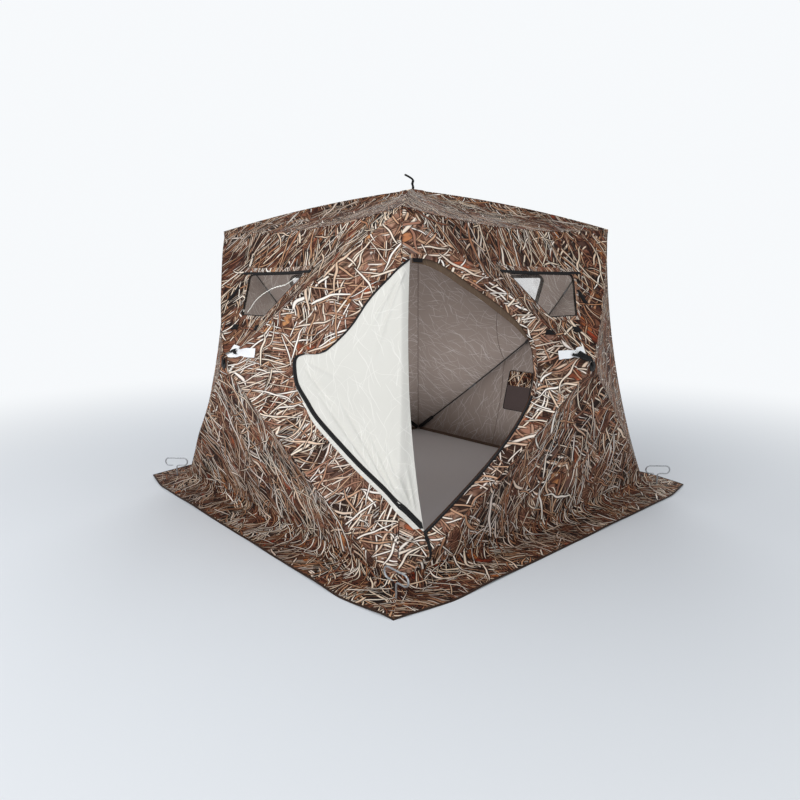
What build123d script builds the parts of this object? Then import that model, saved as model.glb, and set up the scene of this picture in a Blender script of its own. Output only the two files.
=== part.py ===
"""Pop-up ice fishing shelter: quilted fabric walls and roof, each pushed out by a hub and four poles.

Millimetres, +Z up. The origin is on the ground in the middle of the square base.
Every side is built as the side that faces -Y and then turned about Z.
The door corner is the corner at +X, -Y, and the door is in the side that faces +X.
"""
from build123d import *
from math import cos, pi, sin
import os

# Driving sizes of the shelter
base_width = 2360
top_width = 1850
corner_height = 1765
peak_height = 2030
hub_span = 2840
hub_height = 970
seam_bow = 58
top_seam_sag = 60
ridge_bow = 28
gore_sag = 18

# Fabric thicknesses and how far laid-on fabric clears the wall below it
fabric_thickness = 6
skirt_thickness = 3
flap_thickness = 4
tape_thickness = 2
film_thickness = 1.5
lay_clearance = 0.6

# Poles, the flat sleeves that hold their tips, and the hubs
pole_radius = 5.5
pole_fit = 0.3
boot_width = 34
boot_depth = 15
boot_edge = 4
boot_length = 165
boot_cap = 8
pole_tip_inset = 68
pole_stand_off = 20
hub_radius = 32
hub_plate = 6
hub_cap_radius = 27
hub_cap_thickness = 5
hub_bolt_radius = 6
hub_bolt_fit = 0.3
socket_radius = 9
socket_start = 24
socket_end = 78
socket_depth = 16
socket_stop = 6

# Door in the wall that faces +X: its corners as place along the wall and height
door_top = (-895, 1530)
door_mid = (-958, 860)
door_bottom = (-1008, 232)
door_hub_low = (-345, 815)
door_hub_high = (-330, 1120)
door_low_turn = (-585, 575)
door_corner = 45
zip_width = 18
zip_tail = 125
draft_band_reach = 34

# Door panel folded back over the front wall: its free edge from the corner seam round to the seam
flap_seam_high = 1512
flap_edge = [
    (796, 1346), (698, 1197), (589, 1085), (520, 1048), (438, 1044), (403, 1022),
    (400, 974), (431, 883), (507, 796), (598, 705), (826, 535), (1038, 393),
]
flap_seam_low = 355

# Windows: an inverted trapezoid in the upper gore of every wall
window_rise = 252
window_height = 246
window_top_half = 322
window_bottom_half = 132
window_corner = 22
binding_out = 14
binding_in = 10

# Skirt on the ground
skirt_width = 255
skirt_tip = 195
skirt_tip_run = 330
skirt_fit = 0.5

# Ice anchors
anchor_out = 62
anchor_wire = 4.5
anchor_neck = 84
anchor_loop_length = 165
anchor_loop_width = 56
anchor_loop_gap = 26
anchor_fit = 0.3
anchor_headings = [0, 45, 45, 45]

# Straps, tags and the pocket
strap_width = 25
strap_thickness = 2
hub_strap_length = 70
tag_width = 184
tag_height = 55
roof_strap_rise = 70
roof_grip_length = 66
roof_grip_thickness = 9
pocket_top = 668
pocket_height = 322
pocket_width = 248
pocket_middle = 47
pocket_depth = 9

# How finely the fabric surfaces are divided
side_steps = 8
ring_steps = 4
flat_share = 0.05
rod_runs = 6
rod_sides = 8
disc_sides = 12
wire_sides = 6
loop_end_steps = 4

# The cut through the fabric slants down and inwards along the seam of roof and wall
mitre_in = 0.6
mitre_down = 0.8
layer = 1 / mitre_in

base_half = base_width / 2
top_half = top_width / 2
hub_reach = hub_span / 2
fabric_depth = fabric_thickness * layer
window_bottom = hub_height + window_rise
window_top = window_bottom + window_height
side_names = ["front", "right", "back", "left"]


def seam_reach(share):
    """Reach of a corner seam from the middle planes, from the ground (0) to the roof (1)."""
    straight = base_half + (top_half - base_half) * share
    return straight - seam_bow * sin(pi * share) ** 0.75


def top_seam_point(place, depth):
    """Point of the seam between wall and roof, at a place from -1 to 1, at a depth in the fabric."""
    drop = top_seam_sag * (1 - place * place) + depth
    return Vector(
        (top_half - mitre_in * depth) * place,
        -top_half + mitre_in * drop,
        corner_height - mitre_down * drop,
    )


def wall_edge(depth):
    """Closed outline of a wall at a depth in the fabric, each point with its place along its side."""
    steps = [-1 + 2 * i / side_steps for i in range(side_steps)]
    inward = mitre_in * depth
    seam_top = corner_height - mitre_down * depth
    outline = []
    for place in steps:
        outline.append((Vector((base_half - inward) * place, -(base_half - inward), 0), place))
    for place in steps:
        share = (place + 1) / 2
        reach = seam_reach(share) - inward
        outline.append((Vector(reach, -reach, seam_top * share), place))
    for place in steps:
        outline.append((top_seam_point(-place, depth), place))
    for place in steps:
        share = (1 - place) / 2
        reach = seam_reach(share) - inward
        outline.append((Vector(-reach, -reach, seam_top * share), place))
    return outline


def bulge(place, share):
    """How far the fabric stands out of the straight line from the hub to its edge."""
    ridge = ridge_bow * abs(place) ** 6 - gore_sag * (1 - place * place) ** 2
    return ridge * 4 * share * (1 - share)


def wall_rings(depth):
    """Rings of points from the flat patch at the hub out to the edge of the wall."""
    hub = Vector(0, -(hub_reach - mitre_in * depth), hub_height)
    rings = []
    for step in range(ring_steps + 1):
        share = flat_share + (1 - flat_share) * step / ring_steps
        ring = []
        for edge_point, place in wall_edge(depth):
            point = hub + (edge_point - hub) * share
            stand = 0 if step == 0 else bulge(place, share)
            y = hub.Y if step == 0 else point.Y - stand
            ring.append(Vector(point.X, y, point.Z))
        rings.append(ring)
    return rings


def polygon_face(points):
    return Face(Wire.make_polygon(points, close=True))


def solid_of(faces):
    body = Solid(Shell(faces))
    return body if body.volume > 0 else Solid(Shell([-face for face in faces]))


def net_faces(rings, closed):
    """Two triangles for each field between neighbouring rings."""
    faces = []
    count = len(rings[0])
    for near, far in zip(rings, rings[1:]):
        for i in range(count if closed else count - 1):
            j = (i + 1) % count
            faces.append(polygon_face([near[i], far[i], far[j]]))
            faces.append(polygon_face([near[i], far[j], near[j]]))
    return faces


def wall_layer(outer_depth, inner_depth):
    """A layer of a wall between two depths in the fabric, as a closed solid."""
    outer = wall_rings(outer_depth)
    inner = wall_rings(inner_depth)
    faces = [polygon_face(outer[0]), polygon_face(inner[0])]
    faces += net_faces(outer, True) + net_faces(inner, True)
    for side in range(4):
        picked = [(side * side_steps + i) % (4 * side_steps) for i in range(side_steps + 1)]
        rim = [outer[-1][i] for i in picked] + [inner[-1][i] for i in reversed(picked)]
        faces.append(polygon_face(rim))
    return solid_of(faces)


def roof_rows(depth):
    """Rows of points of one roof gore, from the flat patch at the peak to the seam with the wall."""
    peak = Vector(0, 0, peak_height - mitre_down * depth)
    rows = []
    for step in range(ring_steps + 1):
        share = flat_share + (1 - flat_share) * step / ring_steps
        row = []
        for i in range(side_steps + 1):
            place = -1 + 2 * i / side_steps
            point = peak + (top_seam_point(place, depth) - peak) * share
            z = peak.Z if step == 0 else point.Z + bulge(place, share)
            row.append(Vector(point.X, point.Y, z))
        rows.append(row)
    return rows, peak


def roof_layer(outer_depth, inner_depth):
    """One of the four gores of the roof, as a closed solid."""
    outer, outer_peak = roof_rows(outer_depth)
    inner, inner_peak = roof_rows(inner_depth)
    faces = [polygon_face([outer_peak] + outer[0]), polygon_face([inner_peak] + inner[0])]
    faces += net_faces(outer, False) + net_faces(inner, False)
    faces.append(polygon_face(outer[-1] + list(reversed(inner[-1]))))
    for end in (0, -1):
        outer_line = [outer_peak] + [row[end] for row in outer]
        inner_line = [inner_peak] + [row[end] for row in inner]
        faces.append(polygon_face(outer_line + list(reversed(inner_line))))
    return solid_of(faces)


def turned(shape, side):
    return Rot(0, 0, 90 * side) * shape


def through(outline):
    """A prism from the middle out through the wall that faces -Y, from an outline on that wall."""
    return extrude(Plane.XZ * outline, amount=hub_reach + 200, dir=(0, -1, 0))


def door_outline():
    corners = [door_top, door_mid, door_bottom, door_low_turn, door_hub_low, door_hub_high]
    outline = Polygon(*corners, align=None)
    turns = [v for v in outline.vertices() if v.X > door_low_turn[0] - 1]
    return chamfer(turns, door_corner)


def window_outline():
    outline = Polygon(
        (-window_top_half, window_top),
        (-window_bottom_half, window_bottom),
        (window_bottom_half, window_bottom),
        (window_top_half, window_top),
        align=None,
    )
    return chamfer(outline.vertices(), window_corner)


def band(outline, outside, inside):
    """The strip along an outline, reaching outwards and inwards from it."""
    outer = offset(outline, outside, kind=Kind.INTERSECTION) if outside else outline
    inner = offset(outline, -inside, kind=Kind.INTERSECTION) if inside else outline
    return outer - inner


def bore(radius, sides):
    """A polygon that a round rod of this radius just fits into."""
    return RegularPolygon(radius / cos(pi / sides), sides)


def make_wall():
    skin = wall_layer(0, fabric_depth)
    skin -= through(window_outline())
    return skin - through(Pos(0, hub_height) * bore(hub_bolt_radius + hub_bolt_fit, rod_sides))


def make_roof_gore():
    bolt_hole = extrude(bore(hub_bolt_radius + hub_bolt_fit, rod_sides), amount=2 * peak_height)
    return roof_layer(0, fabric_depth) - bolt_hole


def make_film():
    front = (fabric_thickness - film_thickness) / 2
    film = wall_layer(front * layer, (front + film_thickness) * layer)
    return film & through(window_outline())


def make_binding():
    tape = wall_layer(-tape_thickness * layer, 0)
    return tape & through(band(window_outline(), binding_out, binding_in))


def make_skirt():
    lean = (hub_reach - base_half) / hub_height * skirt_thickness
    inner = base_half + lean + skirt_fit
    outer = base_half + skirt_width
    tip = base_half + skirt_tip
    corners = [
        (-inner, -inner),
        (-tip, -tip),
        (-tip + skirt_tip_run, -outer),
        (tip - skirt_tip_run, -outer),
        (tip, -tip),
        (inner, -inner),
    ]
    skirt = extrude(Polygon(*corners, align=None), amount=skirt_thickness)
    reach = base_half + anchor_out
    hole = extrude(bore(anchor_wire + anchor_fit, wire_sides), amount=2 * skirt_thickness)
    for x in (-reach, reach):
        skirt -= Pos(x, -reach, 0) * hole
    return skirt


def anchor_eye():
    """The eye of an ice screw: a straight neck and a flat open loop of wire."""
    neck = extrude(RegularPolygon(anchor_wire, wire_sides), amount=anchor_neck)
    half = anchor_loop_width / 2
    straight = anchor_loop_length / 2 - half
    low = anchor_neck - anchor_wire
    route = [(0, 0, low)]
    for turn in range(2 * loop_end_steps + 2):
        end = 1 if turn <= loop_end_steps else -1
        angle = pi * (turn - (turn > loop_end_steps)) / loop_end_steps
        route.append((end * straight + half * sin(angle), 0, low + half * (1 - cos(angle))))
    route.append((-anchor_loop_gap, 0, low))
    return neck + swept(route, anchor_wire, wire_sides)


def placed_anchor(eye, side):
    reach = base_half + anchor_out
    foot = Vector(reach, -reach, 0).rotate(Axis.Z, 90 * side)
    return Pos(foot) * Rot(0, 0, anchor_headings[side]) * eye


def pole_line(hub_point, hub_inward, corner, corner_inward, ridge_middle):
    """Ends and middle of a pole: from its socket in the hub to its tip near the corner."""
    run = (corner - hub_point).normalized()
    start = hub_point + hub_inward * socket_depth + run * (socket_start + socket_stop)
    end = corner - run * pole_tip_inset + corner_inward * pole_stand_off
    middle = ridge_middle + corner_inward * pole_stand_off
    return start, middle, end


def wall_pole_lines():
    rings = wall_rings(fabric_depth)
    hub_point = Vector(0, -(hub_reach - fabric_thickness), hub_height)
    lines = []
    for corner_index in range(4):
        index = corner_index * side_steps
        corner = rings[-1][index]
        run = (corner - hub_point).normalized()
        out = Vector(0, 1, 0)
        inward = (out - run * out.dot(run)).normalized()
        middle = (hub_point + corner) * 0.5 - Vector(0, ridge_bow, 0)
        lines.append((pole_line(hub_point, out, corner, inward, middle), inward))
    return lines


def roof_pole_lines():
    rows, peak = roof_rows(fabric_depth)
    lines = []
    for side in range(4):
        corner = rows[-1][-1].rotate(Axis.Z, 90 * side)
        run = (corner - peak).normalized()
        out = Vector(0, 0, -1)
        inward = (out - run * out.dot(run)).normalized()
        middle = (peak + corner) * 0.5 + Vector(0, 0, ridge_bow)
        lines.append((pole_line(peak, out, corner, inward, middle), inward))
    return lines


def swept(route, radius, sides):
    """A rod of a few flat sides along straight runs, mitred where they meet."""
    path = Polyline(*route)
    section = Plane(origin=path @ 0, z_dir=path % 0) * RegularPolygon(radius, sides)
    return sweep(section, path=path, transition=Transition.RIGHT)


def pole_route(line):
    arc = Edge.make_three_point_arc(*line)
    return [arc @ (i / rod_runs) for i in range(rod_runs + 1)]


def pole_shape(line):
    return swept(pole_route(line), pole_radius, rod_sides)


def boot_shape(line, inward):
    """A flat closed sleeve over the outer end of a pole, longer than the pole by its cap."""
    before, tip = pole_route(line)[-2:]
    run = (tip - before).normalized()
    mouth = Plane(origin=tip - run * boot_length, x_dir=run.cross(inward), z_dir=run)
    section = chamfer(Rectangle(boot_width, boot_depth).vertices(), boot_edge)
    sleeve = extrude(mouth * section, amount=boot_length + boot_cap)
    hollow = extrude(mouth * bore(pole_radius + pole_fit, rod_sides), amount=boot_length + pole_fit)
    return sleeve - hollow


def hub_shape(lines, hub_point, inward, grip):
    """Plate inside the fabric with a socket for each pole, bolted through it to a cap outside."""
    inside = Plane(origin=hub_point, z_dir=inward)
    outside = inside.offset(-grip)
    hub = extrude(inside * RegularPolygon(hub_radius, disc_sides), amount=hub_plate)
    hub += extrude(inside * RegularPolygon(socket_start, disc_sides), amount=socket_depth + socket_radius)
    hub += extrude(outside * RegularPolygon(hub_bolt_radius, rod_sides), amount=grip)
    hub += extrude(outside * RegularPolygon(hub_cap_radius, disc_sides), amount=-hub_cap_thickness)
    seats = []
    for line, _ in lines:
        foot, after = pole_route(line)[:2]
        seats.append(Plane(origin=foot, z_dir=after - foot))
    for seat in seats:
        root = seat.offset(-(socket_start + socket_stop))
        hub += extrude(root * RegularPolygon(socket_radius, rod_sides), amount=socket_end)
    for seat in seats:
        bottom = seat.offset(-pole_fit)
        hub -= extrude(bottom * bore(pole_radius + pole_fit, rod_sides), amount=socket_end)
    return hub


def flap_outline():
    edge = base_half + skirt_width
    return Polygon(
        (edge, flap_seam_high),
        (seam_reach(flap_seam_high / corner_height), flap_seam_high),
        *flap_edge,
        (seam_reach(flap_seam_low / corner_height), flap_seam_low),
        (edge, flap_seam_low),
        align=None,
    )


def make_flap():
    """The door panel, unzipped and folded back round the corner over the wall beside it."""
    sheet = wall_layer(-(lay_clearance + flap_thickness) * layer, -lay_clearance * layer)
    edge = base_half + skirt_width
    hinge_side = Polygon(
        (-edge, flap_seam_high),
        (-seam_reach(flap_seam_high / corner_height), flap_seam_high),
        door_top,
        door_mid,
        door_bottom,
        (-seam_reach(flap_seam_low / corner_height), flap_seam_low),
        (-edge, flap_seam_low),
        align=None,
    )
    on_front = sheet & through(flap_outline())
    on_right = turned(sheet & through(hinge_side), 1)
    return on_front + on_right


def make_flap_zip():
    start = -(lay_clearance + flap_thickness) * layer
    tape = wall_layer(start - tape_thickness * layer, start)
    return tape & through(band(flap_outline(), 0, zip_width))


def make_fixed_zip():
    """The zip tape sewn round the opening, with a tail below its lowest corner."""
    tape = wall_layer(-tape_thickness * layer, 0)
    edge = band(door_outline(), zip_width, 0)
    open_side = Polygon(
        (0, 0),
        (door_bottom[0], 0),
        door_bottom,
        door_mid,
        door_top,
        (door_top[0], corner_height),
        (0, corner_height),
        align=None,
    )
    tail = Pos(door_bottom[0] + zip_width / 2, door_bottom[1] - zip_tail / 2) * Rectangle(zip_width, zip_tail)
    return turned(tape & through((edge & open_side) + tail), 1)


def make_draft_band():
    """A strip inside the opening that covers the zip along its upper edge."""
    strip = wall_layer(fabric_depth, fabric_depth + tape_thickness * layer)
    edge = band(door_outline(), zip_width, draft_band_reach)
    upper = Polygon(
        door_top,
        (door_top[0], corner_height),
        (0, corner_height),
        (0, door_hub_high[1]),
        (door_hub_high[0] - draft_band_reach, door_hub_high[1]),
        align=None,
    )
    return turned(strip & through(edge & upper), 1)


def make_hub_pull(side):
    """A webbing tab from the hub with a reflective tag on it, towards the nearer door corner."""
    strap = wall_layer(-strap_thickness * layer, 0)
    start = hub_height + hub_cap_radius
    end = start + hub_strap_length
    web = Pos(0, (start + end) / 2) * Rectangle(strap_width, hub_strap_length)
    towards_door = 1 if side % 2 == 0 else -1
    tag = Pos(towards_door * tag_width / 2, end - tag_height / 2) * Rectangle(tag_width, tag_height)
    return turned(strap & through(web + tag), side)


def make_roof_strap():
    foot = peak_height + hub_cap_thickness
    web = Pos(0, 0, foot + roof_strap_rise / 2) * Box(strap_width, strap_thickness, roof_strap_rise)
    grip = Pos(0, 0, foot + roof_strap_rise) * Rot(0, -60, 0) * Pos(0, 0, roof_grip_length / 2) * Box(
        strap_width, roof_grip_thickness, roof_grip_length)
    return web + grip


def make_pocket():
    """A flat pocket hanging on the inner face of the back wall."""
    sheet = wall_layer(fabric_depth, fabric_depth + pocket_depth * layer)
    middle_height = pocket_top - pocket_height / 2
    outline = Pos(pocket_middle, middle_height) * Rectangle(pocket_width, pocket_height)
    return turned(sheet & through(outline), 2)


def build():
    nodes = {}
    wall_lines = wall_pole_lines()
    wall_hub_point = Vector(0, -(hub_reach - fabric_thickness), hub_height)
    wall_hub = hub_shape(wall_lines, wall_hub_point, Vector(0, 1, 0), fabric_thickness)
    wall_poles = [pole_shape(line) for line, _ in wall_lines]
    base_boots = [boot_shape(line, inward) for line, inward in wall_lines[:2]]
    top_boots = [boot_shape(line, inward) for line, inward in wall_lines[2:]]
    wall, roof_gore, skirt, eye = make_wall(), make_roof_gore(), make_skirt(), anchor_eye()
    film, binding = make_film(), make_binding()
    for side, name in enumerate(side_names):
        nodes[f"{name}_wall"] = turned(wall, side)
        nodes[f"{name}_roof_gore"] = turned(roof_gore, side)
        nodes[f"{name}_window_film"] = turned(film, side)
        nodes[f"{name}_window_binding"] = turned(binding, side)
        nodes[f"{name}_skirt"] = turned(skirt, side)
        nodes[f"{name}_hub"] = turned(wall_hub, side)
        nodes[f"{name}_poles"] = Compound([turned(pole, side) for pole in wall_poles])
        nodes[f"{name}_hub_pull"] = make_hub_pull(side)
        nodes[f"ice_anchor_{side + 1}"] = placed_anchor(eye, side)
    nodes["right_wall"] -= turned(through(door_outline()), 1)
    roof_lines = roof_pole_lines()
    roof_thickness = fabric_depth * mitre_down
    peak_point = Vector(0, 0, peak_height - roof_thickness)
    nodes["roof_hub"] = hub_shape(roof_lines, peak_point, Vector(0, 0, -1), roof_thickness)
    nodes["roof_poles"] = Compound([pole_shape(line) for line, _ in roof_lines])
    nodes["base_pole_boots"] = Compound([turned(boot, side) for boot in base_boots for side in range(4)])
    nodes["top_pole_boots"] = Compound([turned(boot, side) for boot in top_boots for side in range(4)])
    nodes["roof_pole_boots"] = Compound([boot_shape(line, inward) for line, inward in roof_lines])
    nodes["door_flap"] = make_flap()
    nodes["door_flap_zip"] = make_flap_zip()
    nodes["door_fixed_zip"] = make_fixed_zip()
    nodes["door_draft_band"] = make_draft_band()
    nodes["roof_pull_strap"] = make_roof_strap()
    nodes["inner_pocket"] = make_pocket()
    return nodes


if __name__ == "__main__":
    os.makedirs("parts", exist_ok=True)
    for name, shape in build().items():
        export_step(shape, f"parts/{name}.step")
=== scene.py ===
"""Dress for the pop-up ice fishing shelter: printed cloth, film windows, zips, webbing and wire.

Metres, +Z up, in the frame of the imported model. Every side is made as the side that faces -Y
and then turned about Z: 0 front (-Y), 1 right (+X, with the door), 2 back (+Y), 3 left (-X).
"""
import bpy
import bmesh
import math
import numpy as np
from mathutils import Matrix, Vector
from mathutils.bvhtree import BVHTree


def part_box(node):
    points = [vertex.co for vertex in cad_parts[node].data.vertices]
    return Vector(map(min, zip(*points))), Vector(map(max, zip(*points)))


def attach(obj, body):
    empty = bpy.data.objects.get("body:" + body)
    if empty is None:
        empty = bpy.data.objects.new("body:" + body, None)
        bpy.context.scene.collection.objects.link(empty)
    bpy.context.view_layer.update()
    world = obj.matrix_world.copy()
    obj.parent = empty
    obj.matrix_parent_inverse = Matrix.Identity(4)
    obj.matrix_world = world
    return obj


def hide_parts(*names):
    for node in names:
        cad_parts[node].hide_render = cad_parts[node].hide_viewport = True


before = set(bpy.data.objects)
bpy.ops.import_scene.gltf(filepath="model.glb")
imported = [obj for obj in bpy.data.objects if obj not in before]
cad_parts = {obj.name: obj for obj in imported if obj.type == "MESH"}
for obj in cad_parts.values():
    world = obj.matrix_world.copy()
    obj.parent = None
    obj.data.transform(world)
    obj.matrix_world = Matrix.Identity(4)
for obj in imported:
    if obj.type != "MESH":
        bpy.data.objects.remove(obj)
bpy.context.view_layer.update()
BODY = "root"
SIDES = ["front", "right", "back", "left"]

# Sizes read from the frame
wall_low, wall_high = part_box("front_wall")
roof_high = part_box("front_roof_gore")[1]
skirt_low, skirt_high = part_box("front_skirt")
BASE_HALF = wall_high[0]
HUB_REACH = -wall_low[1]
CORNER_HEIGHT = wall_high[2]
TOP_HALF = roof_high[0]
PEAK_HEIGHT = roof_high[2]
SKIRT_REACH = -skirt_low[1]
SKIRT_TIP = skirt_high[0]
HUB_CAP = 0.027
HUB_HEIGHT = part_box("front_hub_pull")[0][2] - HUB_CAP

# Form of the cloth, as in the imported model
SEAM_BOW = 0.058
TOP_SEAM_SAG = 0.060
RIDGE_BOW = 0.028
GORE_SAG = 0.018
CLOTH = 0.006
MITRE_IN = 0.6
MITRE_DOWN = 0.8
INNER_DEPTH = CLOTH / MITRE_IN
FLAT_SHARE = 0.05

# Steps along a side, rings of a wall and rows of a roof gore
SIDE_STEPS = 40
WALL_RINGS = 44
ROOF_ROWS = 30

# Small folds of the cloth, and where each sheet's random draws start
WALL_FOLD = 0.0022
WALL_RAYS = 0.0012
ROOF_FOLD = 0.0025
PANE_FOLD = 0.0007
SKIRT_FOLD = 0.0026
WAVES = 24
WALL_SEED = 3
ROOF_SEED = 21
PANE_SEED = 40
SKIRT_FOLD_SEED = 70
SKIRT_WAVE_SEED = 90
CREASE_SEED = 8


# Cloth surfaces

def seam_reach(share):
    straight = BASE_HALF + (TOP_HALF - BASE_HALF) * share
    return straight - SEAM_BOW * np.maximum(np.sin(np.pi * share), 0) ** 0.75


def top_seam(place, depth):
    drop = TOP_SEAM_SAG * (1 - place**2) + depth
    across = (TOP_HALF - MITRE_IN * depth) * place
    return np.stack([across, -TOP_HALF + MITRE_IN * drop, CORNER_HEIGHT - MITRE_DOWN * drop], -1)


def places(count):
    """Places along a side from -1 to 1, closer together at the corners."""
    even = np.linspace(-1, 1, count + 1)
    return 0.35 * even + 0.65 * np.sin(np.pi / 2 * even)


def wall_edge(depth):
    """The edge of a wall, as foot, corner seam, eave and other corner seam, and each point's place."""
    p = places(SIDE_STEPS)[:-1]
    share = (p + 1) / 2
    inward = MITRE_IN * depth
    top = CORNER_HEIGHT - MITRE_DOWN * depth
    half = BASE_HALF - inward
    foot = np.stack([half * p, np.full_like(p, -half), np.zeros_like(p)], -1)
    reach = seam_reach(share) - inward
    up = np.stack([reach, -reach, top * share], -1)
    reach = seam_reach(1 - share) - inward
    down = np.stack([-reach, -reach, top * (1 - share)], -1)
    return np.concatenate([foot, up, top_seam(-p, depth), down]), np.tile(p, 4)


def bulge(place, share):
    ridge = RIDGE_BOW * np.abs(place) ** 6 - GORE_SAG * (1 - place**2) ** 2
    return ridge * 4 * share * (1 - share)


def ripple(points, seed, height, low=4.0, high=16.0):
    """A smooth uneven field over points in a plane, from a seeded sum of waves."""
    rng = np.random.default_rng(seed)
    total = np.zeros(len(points))
    for _ in range(WAVES):
        turn = rng.uniform(0, 2 * np.pi)
        wave = rng.uniform(low, high)
        run = points[:, 0] * np.cos(turn) + points[:, 1] * np.sin(turn)
        total += np.sin(wave * run + rng.uniform(0, 2 * np.pi))
    return height * total / math.sqrt(WAVES)


def wall_grid(depth, seed):
    """Rings of points of the wall that faces -Y, from the flat patch at its hub to its edge."""
    edge, place = wall_edge(depth)
    hub = np.array([0, -(HUB_REACH - MITRE_IN * depth), HUB_HEIGHT])
    shares = np.linspace(FLAT_SHARE, 1, WALL_RINGS + 1)
    grid = []
    for share in shares:
        ring = hub + (edge - hub) * share
        ring[:, 1] -= bulge(place, share)
        grid.append(ring)
    grid = np.array(grid)
    grid[0, :, 1] = hub[1]
    for _ in range(5):
        middle = grid[1:-1]
        beside_it = np.roll(middle, 1, axis=1) + np.roll(middle, -1, axis=1)
        grid[1:-1] = 0.5 * middle + 0.25 * beside_it
    for ring, share in zip(grid[1:-1], shares[1:-1]):
        fade = min(1, (1 - share) / 0.10) * min(1, (share - FLAT_SHARE) / 0.10)
        flat = ring[:, [0, 2]]
        turn = np.arctan2(flat[:, 1] - HUB_HEIGHT, flat[:, 0])
        rays = np.sin(23 * turn + seed) + 0.6 * np.sin(37 * turn + 2 * seed)
        fold = ripple(flat, seed, WALL_FOLD) + WALL_RAYS * rays * math.exp(-3 * share)
        ring[:, 1] -= fold * fade
    return grid


def roof_grid(depth, seed):
    """Rows of points of the roof gore that faces -Y, from the peak to its seam, and the peak."""
    place = places(SIDE_STEPS)
    seam = top_seam(place, depth)
    peak = np.array([0, 0, PEAK_HEIGHT - MITRE_DOWN * depth])
    rows = []
    for share in np.linspace(FLAT_SHARE, 1, ROOF_ROWS + 1):
        row = peak + (seam - peak) * share
        row[:, 2] += bulge(place, share)
        if FLAT_SHARE < share < 1:
            fade = min(1, (1 - share) / 0.10) * np.minimum(1, (1 - np.abs(place)) / 0.06)
            row[:, 2] += ripple(row[:, :2], seed, ROOF_FOLD) * fade
        rows.append(row)
    rows[0][:, 2] = peak[2]
    return np.array(rows), peak


def turned(points, side):
    """Points made for the side that faces -Y, turned about Z to another side."""
    c, s = [(1, 0), (0, 1), (-1, 0), (0, -1)][side]
    x, y, z = np.moveaxis(np.asarray(points, float), -1, 0)
    return np.stack([c * x - s * y, s * x + c * y, z], -1)


def unit(vector):
    return np.asarray(vector, float) / np.linalg.norm(vector)


def units(rows):
    """Each row of an array as a direction."""
    return rows / np.maximum(np.linalg.norm(rows, axis=1), 1e-9)[:, None]


def left_of(rows):
    """Directions in a plane, each turned a quarter to the left."""
    return np.stack([-rows[:, 1], rows[:, 0]], -1)


# Mesh helpers

def new_object(name, verts, faces, uv=None, material_of_face=None, materials=(), smooth=40, across=None):
    """A mesh object. Its uv is in metres of cloth, and across runs from -1 to 1 over a tape."""
    mesh = bpy.data.meshes.new(name)
    mesh.from_pydata([tuple(map(float, v)) for v in verts], [], [tuple(map(int, f)) for f in faces])
    mesh.update()
    if uv is not None:
        layer = mesh.uv_layers.new(name="cloth")
        index = np.empty(len(mesh.loops), dtype=np.int32)
        mesh.loops.foreach_get("vertex_index", index)
        layer.data.foreach_set("uv", np.asarray(uv, np.float32)[index].ravel())
    for material in materials:
        mesh.materials.append(material)
    if material_of_face is not None:
        mesh.polygons.foreach_set("material_index", np.asarray(material_of_face, np.int32))
    if across is not None:
        layer = mesh.attributes.new("across", "FLOAT", "POINT")
        layer.data.foreach_set("value", np.asarray(across, np.float32))
    mesh.shade_smooth()
    if smooth:
        mesh.set_sharp_from_angle(angle=math.radians(smooth))
    obj = bpy.data.objects.new(name, mesh)
    bpy.context.scene.collection.objects.link(obj)
    return obj


def piece(obj, node=None):
    """Let an object ride on the body, and let it stand for a node where it does."""
    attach(obj, BODY)
    if node:
        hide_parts(node)


def closed_rings(outer, inner):
    """Points, faces and kinds of face of a shell between two equal grids of closed rings."""
    rows, cols = outer.shape[:2]
    base = rows * cols
    last = base - cols
    faces = []
    for a in range(0, last, cols):
        b = a + cols
        for c in range(cols):
            d = (c + 1) % cols
            faces.append(((a + c, b + c, b + d, a + d), 0))
            faces.append(((base + a + c, base + a + d, base + b + d, base + b + c), 1))
    faces.append((tuple(range(cols)), 0))
    faces.append((tuple(base + c for c in reversed(range(cols))), 1))
    for c in range(cols):
        d = (c + 1) % cols
        faces.append(((last + d, last + c, base + last + c, base + last + d), 0))
    return np.concatenate([outer.reshape(-1, 3), inner.reshape(-1, 3)]), *zip(*faces)


def face_outwards(obj):
    bm = bmesh.new()
    bm.from_mesh(obj.data)
    bmesh.ops.recalc_face_normals(bm, faces=bm.faces)
    bm.to_mesh(obj.data)
    bm.free()
    return obj


def prism(outline):
    """A cutter along Y through the front wall, from an outline of (place, height) points."""
    n = len(outline)
    verts = [(x, depth, z) for depth in (-2.0, -0.2) for x, z in outline]
    faces = [tuple(range(n)), tuple(reversed(range(n, 2 * n)))]
    faces += [(i, (i + 1) % n, n + (i + 1) % n, n + i) for i in range(n)]
    return face_outwards(new_object("cutter", verts, faces, smooth=0))


def cut(obj, cutter):
    modifier = obj.modifiers.new("cut", "BOOLEAN")
    modifier.operation = "DIFFERENCE"
    modifier.solver = "EXACT"
    modifier.object = cutter
    graph = bpy.context.evaluated_depsgraph_get()
    made = bpy.data.meshes.new_from_object(obj.evaluated_get(graph))
    obj.modifiers.clear()
    old = obj.data
    obj.data = made
    bpy.data.meshes.remove(old)
    bpy.data.objects.remove(cutter)


def bend(start, control, end, t):
    """The spot at a share t of a simple curve, pulled towards a control point."""
    return (1 - t) ** 2 * start + 2 * t * (1 - t) * control + t**2 * end


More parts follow.
